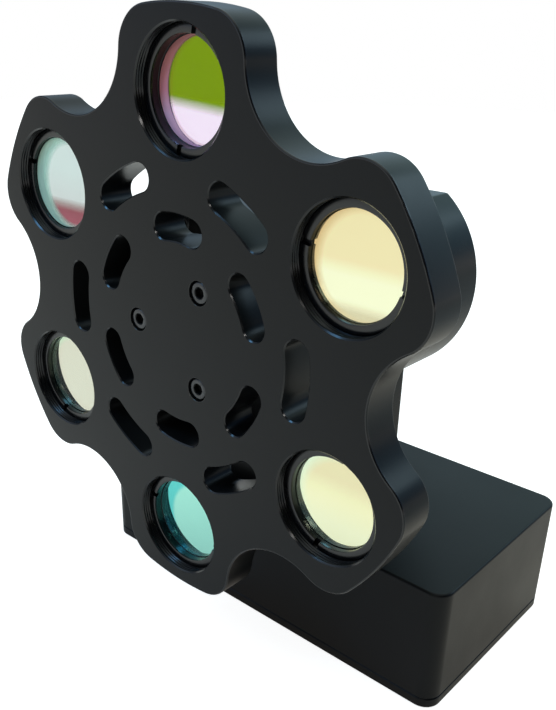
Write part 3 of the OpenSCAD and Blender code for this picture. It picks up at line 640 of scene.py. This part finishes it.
def makeFilters():
    p = filterPart
    for k in range(6):
        centre = stationPlace(k)
        materials = dict(zip(("Glass", "Coating", "Ground"), filterMaterials(k)))
        grid = slottedRing(centre, math.radians(ring["firstSlot"] + ring["slotTurn"] * k))
        addPiece(f"retainingRing{k + 1}", [shell(grid, closeRows=True)], onAxis, "ringBlack", "wheel",
                 "retaining_ring", f"retaining_ring_{k + 1}", sharp=35)
        addPiece(f"filterMount{k + 1}", [shell(turnedGrid(p["mount"], 128, centre), closeRows=True)], onAxis,
                 "mountBlack", "wheel", "filter_mount", f"filter_mount_{k + 1}")
        slot = f"filter_glass_{k + 1}"
        front, back, bevel = filterLooks[k]["depth"], p["glassBack"], p["bevel"]
        start = front + p["filmGap"]
        disc = [(p["glassR"] - bevel, start), (p["glassR"], start + bevel), (p["glassR"], back - bevel),
                (p["glassR"] - bevel, back)]
        addPiece(f"filterGlass{k + 1}", [capped(turnedGrid(disc, 128, centre))], onAxis, materials["Glass"],
                 "wheel", slot, slot)
        for name, depth in (("Coating", front), ("Ground", front - p["groundGap"])):
            if materials[name]:
                film = shell(turnedGrid([(p["filmR"], depth)], 128, centre), capStart=True)
                addPiece(f"filter{name}{k + 1}", [film], onAxis, materials[name], "wheel", slot)


def hexRadius(angle, acrossFlats):
    # Distance from a hexagon's centre to its side in a direction
    step = tau / 6
    return acrossFlats / 2 / np.cos((angle + step / 2) % step - step / 2)


# Screws, in shares of the thread's diameter d: point, knurl, and for each head where the shank starts and where
# its length is counted from, the radius, the socket's width and depth, and the outline as (share of radius,
# height, knurled); in mm, the counterbored and countersunk holes that they stand in
screw = {"d": 3, "pointR": 0.40, "pointH": 0.1, "knurls": 36, "knurlDepth": 0.012,
         "cap": {"neck": -1.0, "from": 1.0, "r": 0.915, "socket": 0.84, "deep": 0.5,
                 "outline": [(0.97, -1.0, False), (1, -0.97, True), (1, -0.14, True), (0.985, -0.10, False),
                             (0.93, -0.03, False), (0.87, 0, False)]},
         "flat": {"neck": -0.5, "from": 0.0, "r": 0.95, "socket": 0.66, "deep": 0.42,
                  "outline": [(1, -0.03, False), (0.985, 0, False)]},
         "socketRings": 4, "boreR": 3.045, "boreDepth": 3.4, "boreEdge": 0.15, "holeR": 1.7,
         "sink": [(2.99, 0.0), (2.95, 0.05), (1.7, 1.3)]}


def screwBore(front, back):
    s = screw
    deep = front + s["boreDepth"]
    return ([(s["boreR"] + i, front + d) for i, d in edgeArc(s["boreEdge"])] +
            [(s["boreR"], deep), (s["holeR"], deep), (s["holeR"], back)])


def screwGrid(length, head, count=144):
    # A screw with a hexagon socket as rings from the end of its shank to the bottom of its socket. Each ring is a
    # circle, a knurled circle or a hexagon at one height; the top of the head is at 0 and the shank points to -z
    s, h = screw, screw[head]
    d = s["d"]
    t = np.linspace(0, tau, count, endpoint=False)
    circle = np.ones(count)
    knurl = 1 - s["knurlDepth"] * (0.5 + 0.5 * np.cos(s["knurls"] * t))
    end = -h["from"] * d - length
    rings = [(s["pointR"] * d * circle, end), (0.5 * d * circle, end + s["pointH"] * d),
             (0.5 * d * circle, h["neck"] * d)]
    rings += [(h["r"] * d * share * (knurl if knurled else circle), up * d)
              for share, up, knurled in h["outline"]]
    socket, deep = h["socket"] * d, -h["deep"] * d
    hexagon = hexRadius(t, socket)
    rings += [(0.62 * socket * circle, 0), (hexagon * 0.995, -0.05 * d), (hexagon * 0.99, deep),
              (0.20 * socket * circle, deep - 0.12 * d)]
    radius = np.array([q[0] for q in rings])
    height = np.array([np.full(count, q[1]) for q in rings])
    return np.stack([radius * np.cos(t), radius * np.sin(t), height], axis=-1)


def makeScrews(name, node, places, length, head, body):
    # places is a list of (centre in metres, direction that the head's top faces, turn of the socket)
    parts = []
    grid = screwGrid(length, head)
    faces = capped(grid)[1]
    for centre, facing, turn in places:
        towards = Vector((0, 0, 1)).rotation_difference(Vector(facing)).to_matrix()
        rotation = towards @ Matrix.Rotation(turn, 3, "Z")
        parts.append((grid.reshape(-1, 3) * mm @ np.array(rotation).T + np.array(centre), faces))
    piece = makePiece(name, parts, lambda p: p, "screwBlack", 35)
    # The socket's inside gets painted shade, a darker and duller finish: every face from its first ring on, and
    # the cap that ends it
    mesh = piece.data
    mesh.materials.append(finish["socketBlack"])
    rows, columns = grid.shape[:2]
    inPart = np.arange(len(mesh.polygons)) % ((rows - 1) * columns + 2)
    dark = (inPart >= (rows - screw["socketRings"]) * columns) & (inPart != (rows - 1) * columns)
    mesh.polygons.foreach_set("material_index", dark.astype(np.int32))
    hand(piece, body, "black_screw", node)


def polarPlaces(radius, angles, depth, facing, turns):
    # Screw places on a circle about the axis, in metres
    spots = []
    for angle, turn in zip(angles, turns):
        a = math.radians(angle)
        point = onAxis([radius * math.cos(a), radius * math.sin(a), depth])
        spots.append((tuple(point), facing, math.radians(turn)))
    return spots


# The motor, in mm; posts are (radius, angles, post's radius, where it ends)
motor = {"outerR": 32.0, "flat": 25.7, "corner": 1.2, "bellFront": 19.0, "bellBack": 25.0, "back": 91.0,
         "boreR": 23.5, "web": (70.0, 80.0), "seatR": 11.02, "seatEnd": 78.0, "shaftHoleR": 7.5, "pocketR": 20.5,
         "coverFront": 88.0, "coverR": 22.45, "coverGap": 0.05, "coverEdge": 0.3, "edge": 0.5, "frontEdge": 0.6,
         "seam": 0.12, "bellScrewR": 28.0, "bellScrewA": 50.0, "bellHoleR": 4.6, "rearScrewR": 18.0,
         "rearScrewA": (-30, -150, 90),
         "posts": [(18.0, (-30, -150, 90), 3.2, 88.0), (10.5, (-90, 150, 30), 2.4, 83.5)],
         "boss": [(4.6, 25.0), (23.48, 25.0), (23.48, 28.0), (14.0, 28.0), (14.0, 34.5), (11.02, 34.5),
                  (11.02, 26.0), (4.6, 26.0)],
         "neckW": 37.6, "neckD": 40.0, "neckCorner": 2.0, "neckEdge": 0.15, "neckMid": 58.0, "neckTop": 75.5}


def housingSection(inset, count=140):
    # Round section with a flat top, moved inwards by inset: an arc below and a line across the top. The
    # corners between them are rounded a little
    radius, height = motor["outerR"] - inset, motor["flat"] - inset
    corner = motor["corner"]
    inner = radius - corner
    across = math.sqrt(inner ** 2 - (height - corner) ** 2)
    lean = math.atan2(height - corner, across)
    flatX = height * np.tan(np.linspace(1, -1, 41)[:-1] * math.atan2(across, height))
    return np.concatenate([
        arc((0, 0), radius, math.pi - lean, tau + lean, count),
        arc((across, height - corner), corner, lean, math.pi / 2, 8),
        np.column_stack([flatX, np.full(len(flatX), height)]),
        arc((-across, height - corner), corner, math.pi / 2, math.pi - lean, 8)])


def circleInSection(radius):
    # A circle with its points at the same angles as the housing's section, so that the two line up
    outline = housingSection(0.0)
    angles = np.arctan2(outline[:, 1], outline[:, 0])
    return np.stack([radius * np.cos(angles), radius * np.sin(angles)], axis=-1)


def aboutAxis(radius, angle):
    a = math.radians(angle)
    return radius * math.cos(a), radius * math.sin(a)


def makeHousing():
    m = motor
    s, coverR = m["seam"], m["coverR"] + m["coverGap"]
    loops = [(housingSection(s), m["bellBack"]), (housingSection(0), m["bellBack"] + s)]
    loops += [(housingSection(i), m["back"] - d) for i, d in edgeArc(m["edge"])[::-1]]
    inside = [(coverR + 0.2, m["back"]), (coverR, m["back"] - 0.2), (coverR, m["coverFront"]),
              (m["pocketR"], m["coverFront"]), (m["pocketR"], m["web"][1]), (m["shaftHoleR"], m["web"][1]),
              (m["shaftHoleR"], m["seatEnd"]), (m["seatR"], m["seatEnd"]), (m["seatR"], m["web"][0]),
              (m["boreR"], m["web"][0]), (m["boreR"], m["bellBack"])]
    loops += [(circleInSection(radius), depth) for radius, depth in inside]
    housing = ("base", "housing_anodised", "motor_housing")
    addPiece("motorHousing", [shell(carry(loops), closeRows=True)], onAxis, "housingBlack", *housing, weigh=True)

    # Neck: a block with rounded uprights, from the case up into the underside of the round body
    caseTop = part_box("controller_case")[1].z / mm
    loop = roundRectLoop((0, frontY / mm + m["neckMid"]), m["neckW"], m["neckD"], m["neckCorner"])
    levels = [(loop(-m["neckEdge"]), caseTop), (loop(0), caseTop + m["neckEdge"]), (loop(0), m["neckTop"])]
    addPiece("housingNeck", [capped(carry(levels))], onCase, "housingBlack", *housing, weigh=True)

    # Posts in the rear pocket for the rear cover and the encoder board
    posts = [capped(turnedGrid([(r, m["web"][1] - 0.2), (r, top)], 32, aboutAxis(radius, angle)))
             for radius, angles, r, top in m["posts"] for angle in angles]
    addPiece("pocketPosts", posts, onAxis, "housingBlack", *housing)


def makeEndBell():
    m = motor
    front, back, s = m["bellFront"], m["bellBack"], m["seam"]
    outerProfile = [(i, front + d) for i, d in edgeArc(m["frontEdge"])] + [(0, back - s), (s, back)]
    places = [aboutAxis(m["bellScrewR"], half + side * m["bellScrewA"]) for half in (0, 180) for side in (-1, 1)]
    holes = [(circleLoop(centre, 64), screwBore(front, back)) for centre in places]
    shaftHole = [(m["bellHoleR"] + i, front + d) for i, d in edgeArc(0.3)] + [(m["bellHoleR"], back)]
    holes.append((circleLoop((0, 0), 96), shaftHole))
    parts = plate(housingSection, outerProfile, holes) + [shell(turnedGrid(m["boss"], 96), closeRows=True)]
    addPiece("frontEndBell", parts, onAxis, "turnedBlack", "base", "housing_anodised", "front_end_bell",
             weigh=True)


def makeRearCover():
    m = motor
    front, back = m["coverFront"], m["back"]
    edge = [(m["coverR"], front)] + [(m["coverR"] - i, back - d) for i, d in edgeArc(m["coverEdge"])[::-1]]
    sink = [(screw["holeR"], front)] + [(r, back - d) for r, d in screw["sink"][::-1]]
    holes = [(circleLoop(aboutAxis(m["rearScrewR"], angle), 48), sink) for angle in m["rearScrewA"]]
    addPiece("rearCover", plate(circleLoop((0, 0), 128), edge, holes), onAxis, "turnedBlack", "base",
             "housing_anodised", "rear_cover", weigh=True)


# The case, in mm: its two sockets as (across, up) on the rear wall, their openings, and the bench holes
case = {"corner": 5.0, "wall": 3.0, "top": 4.0, "edge": 0.8, "seam": 0.35, "coverT": 3.0, "coverEdge": 0.4,
        "post": (59.5, 27.5), "benchX": 100.0, "benchY": 36.0, "benchR": 2.0, "benchEdge": 0.3,
        "boss": (5.0, 9.0), "jack": (-24.0, 17.1), "usb": (12.0, 12.2), "usbHole": (9.6, 3.8),
        "jackHole": [(4.5, -0.2), (4.3, 0.0), (4.1, 0.2), (4.1, 4.0)],
        "usbFlare": [(0.4, -0.2), (0.2, 0.0), (0, 0.2), (0, 4.0)]}

# The sockets, in mm: turned profiles are (radius, depth), blocks (width, height, corner), rings (growth, depth)
ports = {"barrel": [(4.0, 3.0), (4.0, 0.45), (3.85, 0.3), (3.1, 0.3), (2.85, 0.55), (2.85, 10.3), (0.0001, 10.3)],
         "block": (9.0, 11.0, 0.4), "blockRings": [(-0.3, 3.0), (0, 3.3), (0, 16.7), (-0.3, 17.0)],
         "pin": [(0.0001, 1.5), (0.55, 1.55), (0.9, 1.75), (1.05, 2.1), (1.05, 10.3)],
         "sleeve": [(2.84, 1.2), (2.70, 1.2), (2.70, 9.9), (2.84, 9.9)],
         "usb": (9.0, 3.2),
         "usbRings": [(0, 8.3), (0, 0.4), (-0.08, 0.3), (-0.24, 0.3), (-0.3, 0.42), (-0.3, 7.7)],
         "tongue": (6.6, 0.7, 0.3), "tongueRings": [(-0.15, 1.3), (0, 1.45), (0, 7.7)],
         "pads": 8, "padPitch": 0.6, "padFrom": -2.1, "padAt": 0.355, "pad": (0.26, 0.05, 0.02)}


def cutFrom(piece, cutters):
    # Takes closed cutters away from a piece and removes them
    for cutter in cutters:
        cut = piece.modifiers.new("cut", "BOOLEAN")
        cut.operation = "DIFFERENCE"
        cut.solver = "EXACT"
        cut.object = cutter
    depsgraph = bpy.context.evaluated_depsgraph_get()
    mesh = bpy.data.meshes.new_from_object(piece.evaluated_get(depsgraph))
    piece.modifiers.clear()
    piece.data = mesh
    mesh.shade_smooth()
    mesh.set_sharp_from_angle(angle=math.radians(30))
    for cutter in cutters:
        bpy.data.objects.remove(cutter)


def stadiumLoop(width, height, count=12):
    # A slot with half-round ends, as a function of how far it grows
    half = (width - height) / 2

    def loop(grow):
        r = height / 2 + grow
        return np.concatenate([arc((half, 0), r, -tau / 4, tau / 4, count, True),
                               arc((-half, 0), r, tau / 4, 3 * tau / 4, count, True)])
    return loop


def onRear(x, z, backY):
    # Places (across, up, forwards) about a port's centre on the rear wall; forwards is into the case
    def place(points):
        p = np.asarray(points, float) * mm
        return np.stack([p[..., 0] + x * mm, backY - p[..., 2], p[..., 1] + z * mm], axis=-1)
    return place


def grown(loop, rings):
    return carry([(loop(grow), level) for grow, level in rings])


def makeCase():
    c = case
    low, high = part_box("controller_case")
    width, depth = (high.x - low.x) / mm, (high.y - low.y) / mm
    midY = (low.y + high.y) / 2 / mm
    bottom, top = low.z / mm, high.z / mm
    outer = roundRectLoop((0, midY), width, depth, c["corner"], 12)
    inner = roundRectLoop((0, midY), width - 2 * c["wall"], depth - 2 * c["wall"], c["corner"] - 2, 12)
    outside = [(outer(-c["seam"]), bottom), (outer(0), bottom + c["seam"])]
    outside += [(outer(-i), top - d) for i, d in edgeArc(c["edge"], 5)[::-1]]
    rim = [(inner(0), top - c["top"]), (inner(0), bottom), (outer(-c["seam"]), bottom)]
    parts = [shell(carry(outside), capEnd=True), shell(carry(rim), capStart=True)]
    piece = makePiece("caseShell", parts, onCase, "caseBlack")
    jackHole = capped(turnedGrid(c["jackHole"], 64))
    usbHole = capped(grown(stadiumLoop(*c["usbHole"]), c["usbFlare"]))
    cutFrom(piece, [makePiece("jackCutter", [jackHole], onRear(*c["jack"], high.y), "caseBlack"),
                    makePiece("usbCutter", [usbHole], onRear(*c["usb"], high.y), "caseBlack")])
    weighNormals(piece)
    hand(piece, "base", "case_anodised", "controller_case")

    # Bottom cover with its bench holes and countersinks, seen from below
    lowCover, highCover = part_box("bottom_cover")
    width, depth = (highCover.x - lowCover.x) / mm, (highCover.y - lowCover.y) / mm
    loop = roundRectLoop((0, midY), width, depth, c["corner"], 12)
    edge = [(-i, d) for i, d in edgeArc(c["coverEdge"])]
    edge += [(0, c["coverT"] - c["seam"]), (-c["seam"], c["coverT"])]
    hole, (bossR, bossTop) = c["benchR"], c["boss"]
    benchRings = [(hole + i, d) for i, d in edgeArc(c["benchEdge"])] + [(hole, c["coverT"])]
    boss = [(hole, c["coverT"]), (hole, bossTop), (bossR, bossTop), (bossR, c["coverT"])]
    sink = screw["sink"] + [(screw["holeR"], c["coverT"])]
    holes, bosses = [], []
    for x in (-1, 1):
        for y in (-1, 1):
            bench = (x * c["benchX"] / 2, midY + y * c["benchY"] / 2)
            holes.append((circleLoop(bench, 64), benchRings))
            bosses.append(shell(turnedGrid(boss, 64, bench)))
            holes.append((circleLoop((x * c["post"][0], midY + y * c["post"][1]), 48), sink))
    addPiece("bottomCover", plate(loop, edge, holes) + bosses, onCase, "caseBlack", "base", "case_anodised",
             "bottom_cover", weigh=True)
    return midY, high.y


def makePorts(backY):
    p = ports
    jackPlace, usbPlace = [onRear(*case[name], backY) for name in ("jack", "usb")]
    # Barrel of the power jack with its inner contact, and the block behind it
    block = roundRectLoop((0, -1.0), *p["block"], 4)
    parts = [shell(turnedGrid(p["barrel"], 64)), capped(grown(block, p["blockRings"]))]
    addPiece("powerJack", parts, jackPlace, "chipBlack", "base", "chip_plastic", "power_jack")
    addPiece("powerPin", [shell(turnedGrid(p["pin"], 48), capEnd=True)], jackPlace, "brightSteel", "base",
             "socket_shell", "power_jack")
    addPiece("powerSleeve", [shell(turnedGrid(p["sleeve"], 64), closeRows=True)], jackPlace, "brightSteel",
             "base", "socket_shell", "power_jack")
    addPiece("usbShell", [capped(grown(stadiumLoop(*p["usb"], 16), p["usbRings"]))], usbPlace, "brightSteel",
             "base", "socket_shell", "usb_socket")
    tongue = roundRectLoop((0, 0), *p["tongue"], 5)
    addPiece("usbTongue", [capped(grown(tongue, p["tongueRings"]))], usbPlace, "chipBlack", "base",
             "chip_plastic", "usb_socket")
    pads = [roundRectLoop((p["padFrom"] + p["padPitch"] * i, side * p["padAt"]), *p["pad"], 2)
            for side in (-1, 1) for i in range(p["pads"])]
    contacts = [capped(carry([(pad(0), 1.7), (pad(0), 5.0)])) for pad in pads]
    addPiece("usbContacts", contacts, usbPlace, "bearingBrass", "base", "bearing_brass", "usb_socket")


# Sets of screws: name, node, (radius, angles, depth) about the axis, direction, sockets' turns, length, head, body
screwSets = [
    ("wheelScrews", "wheel_screws", (14.35, [58, 178, 298], 0.4), (0, -1, 0), [12, 41, 25], 12, "cap", "wheel"),
    ("endBellScrews", "end_bell_screws", (28, [50, 130, 230, 310], 19.4), (0, -1, 0), [5, 33, 48, 20], 10, "cap",
     "base"),
    ("rearCoverScrews", "rear_cover_screws", (18, [-30, -150, 90], 90.95), (0, 1, 0), [10, 37, 22], 8, "flat",
     "base")]


def addScrews(name, node, circle, facing, turns, length, head, body):
    makeScrews(name, node, polarPlaces(*circle, facing, turns), length, head, body)


print("wheel and filters")
makeWheel()
makeFilters()
addScrews(*screwSets[0])
print("motor")
makeHousing()
makeEndBell()
makeRearCover()
addScrews(*screwSets[1])
addScrews(*screwSets[2])
print("case")
midY, backY = makeCase()
makePorts(backY)
postX, postY = case["post"]
coverPlaces = [((x * postX * mm, (midY + y * postY) * mm, 0.05 * mm), (0, 0, -1), 0.3 + x + 0.7 * y)
               for x in (-1, 1) for y in (-1, 1)]
makeScrews("coverScrews", "cover_screws", coverPlaces, 10, "flat", "base")

# Pieces that keep their own solids get their finish here
ownFinishes = {
    "turnedBlack": ["wheel_hub"],
    "screwBlack": ["hub_set_screws", "neck_screws"],
    "brightSteel": ["motor_shaft", "front_inner_race", "rear_inner_race", "front_outer_race", "rear_outer_race",
                  "preload_spring", "encoder_screws", "board_screws"],
    "lamination": ["rotor_core", "stator_core"],
    "nickelMagnet": ["rotor_magnets", "encoder_magnet"],
    "copperWire": ["stator_coils"],
    "bearingBrass": ["front_ball_cage", "rear_ball_cage", "board_standoffs"],
    "boardGreen": ["encoder_board", "control_board"],
    "chipBlack": ["driver_chips"],
    "canSilver": ["capacitors"],
    "headerIvory": ["cable_headers"],
    "leadJacket": ["motor_cable", "encoder_cable"],
}
for material, names in ownFinishes.items():
    for name in names:
        node = nodes[name]
        node.data.materials.clear()
        node.data.materials.append(finish[material])


studio = {"cameraAt": (0.144382, -0.180519, 0.171487), "heading": 40.874, "down": 25.076, "roll": 1.446,
          "lens": 42.637, "shift": (0.01445, 0.07605), "floorR": 1.72, "floor": (0.90, 0.86, 0.80),
          "floorShown": 0.85, "floorZ": -0.2, "horizon": (0.03, 0.10),
          # The floor's glow seen in reflections is painted light, a painted shadow near the object on the left and
          # a painted pool of warm light near it on the right: (where it starts and ends, inner and outer colour)
          # on each side
          "rightwards": (0.8, 0.6, 0.0), "glowTurn": (-0.06, 0.10),
          "glowLeft": (0.05, 0.14, (0.12, 0.11, 0.10), (0.58, 0.56, 0.50)),
          "glowRight": (0.12, 0.30, (0.36, 0.29, 0.20), (0.02, 0.02, 0.02)),
          # The room's soft lights: (direction, sharpness, colour)
          "room": [((-0.59, 0.68, 0.35), 8, (0.20, 0.34, 0.52)), ((-0.50, 0.60, 0.75), 8, (0.48, 0.50, 0.44)),
                   ((0.0, 0.1, 1.0), 8, (1.22, 1.34, 1.30)), ((0.60, 0.70, 0.40), 8, (0.12, 0.26, 0.52)),
                   ((-0.60, -0.70, 0.40), 8, (0.90, 1.10, 1.40)), ((0.0, 1.0, 0.3), 8, (0.72, 1.15, 1.18))],
          # Lamps: place, aim, size, power, colour
          "lamps": {"glintLight": ((0.55, -1.03, 0.88), (0, -0.05, 0.1), 0.12, 1.2, (1.0, 0.98, 0.95)),
                    "coolLight": ((-0.10, -0.22, 0.36), (-0.01, -0.05, 0.16), 0.1, 0.28, (0.20, 0.55, 1.0)),
                    "backLight": ((0.45, 0.75, 0.70), (0, 0, 0.1), 0.4, 1.5, (0.66, 0.88, 1.0))}}


def makeCamera():
    s = studio
    camera = bpy.data.cameras.new("camera")
    camera.lens = s["lens"]
    camera.sensor_width = 36
    camera.shift_x, camera.shift_y = s["shift"]
    camera.clip_start = 0.01
    view = bpy.data.objects.new("camera", camera)
    bpy.context.scene.collection.objects.link(view)
    turn = Matrix.Rotation(math.radians(s["heading"]), 4, "Z")
    tip = Matrix.Rotation(math.radians(90 - s["down"]), 4, "X")
    roll = Matrix.Rotation(math.radians(s["roll"]), 4, "Z")
    view.matrix_world = Matrix.Translation(s["cameraAt"]) @ turn @ tip @ roll
    bpy.context.scene.camera = view


def areaLight(name, place, aim, size, power, color):
    lamp = bpy.data.lights.new(name, "AREA")
    lamp.shape = "RECTANGLE"
    lamp.size = lamp.size_y = size
    lamp.energy = power
    lamp.color = color
    light = bpy.data.objects.new(name, lamp)
    bpy.context.scene.collection.objects.link(light)
    light.location = place
    light.rotation_euler = (Vector(aim) - Vector(place)).to_track_quat("-Z", "Y").to_euler()


def eitherRay(tree, kinds):
    # 1 where the ray is of any of these kinds
    path = addNode(tree, "LightPath").outputs
    seen = path[f"Is {kinds[0]} Ray"]
    for kind in kinds[1:]:
        seen = calc(tree, "MAXIMUM", seen, path[f"Is {kind} Ray"])
    return seen


def makeFloor():
    s = studio
    grid = carry([(circleLoop((0, 0), 96)(s["floorR"] / mm), s["floorZ"])])
    material = newMaterial("floorPale", s["floor"], rough=0.7, specular=0.2)
    tree = material.node_tree
    shader = tree.nodes["Principled BSDF"].inputs
    place = addNode(tree, "TexCoord").outputs["Object"]
    far = addNode(tree, "VectorMath", {0: place}, operation="LENGTH").outputs["Value"]
    toRight = addNode(tree, "VectorMath", {0: place, 1: s["rightwards"]},
                      operation="DOT_PRODUCT").outputs["Value"]
    # In reflections the floor shows painted light: painted shadow near the object on the left, a painted pool of
    # warm light near it on the right
    sides = [mixColors(tree, addRange(tree, far, 0.0, 1.0, start, end), inner, outer)
             for start, end, inner, outer in (s["glowLeft"], s["glowRight"])]
    paintedFloorLight = mixColors(tree, addRange(tree, toRight, 0.0, 1.0, *s["glowTurn"]), *sides)
    shown = mixColors(tree, eitherRay(tree, ("Glossy",)), (s["floorShown"],) * 3, paintedFloorLight)
    feed(tree, shader["Emission Color"], shown)
    feed(tree, shader["Emission Strength"], eitherRay(tree, ("Camera", "Transmission", "Glossy")))
    floor = makePiece("floor", [shell(grid, capStart=True)], onCase, material)


def makeWorld():
    # A room of soft lights, each the power of the cosine to its direction, and a white background for the camera,
    # for glass and, along the horizon, for reflections
    world = bpy.data.worlds.new("room")
    world.use_nodes = True
    bpy.context.scene.world = world
    tree = world.node_tree
    place = addNode(tree, "TexCoord").outputs["Generated"]
    room = None
    for direction, sharpness, color in studio["room"]:
        towards = addNode(tree, "VectorMath", {0: place, 1: Vector(direction).normalized()},
                          operation="DOT_PRODUCT").outputs["Value"]
        level = calc(tree, "POWER", addRange(tree, towards, 0.0, 1.0, 0.0, 1.0), sharpness)
        light = addNode(tree, "VectorMath", {0: color, "Scale": level}, operation="SCALE").outputs[0]
        room = light if room is None else addNode(tree, "VectorMath", {0: room, 1: light},
                                                  operation="ADD").outputs[0]
    up = addNode(tree, "SeparateXYZ", {0: place}).outputs["Z"]
    white = (1.0, 1.0, 1.0)
    above = mixColors(tree, addRange(tree, up, 0.0, 1.0, *studio["horizon"]), white, room)
    shown = mixColors(tree, eitherRay(tree, ("Glossy",)), white, above)
    seen = eitherRay(tree, ("Camera", "Transmission", "Glossy"))
    feed(tree, tree.nodes["Background"].inputs["Color"], mixColors(tree, seen, room, shown))


print("studio")
makeCamera()
makeFloor()
makeWorld()
for name, lamp in studio["lamps"].items():
    areaLight(name, *lamp)

bpy.context.scene.view_settings.view_transform = "Standard"
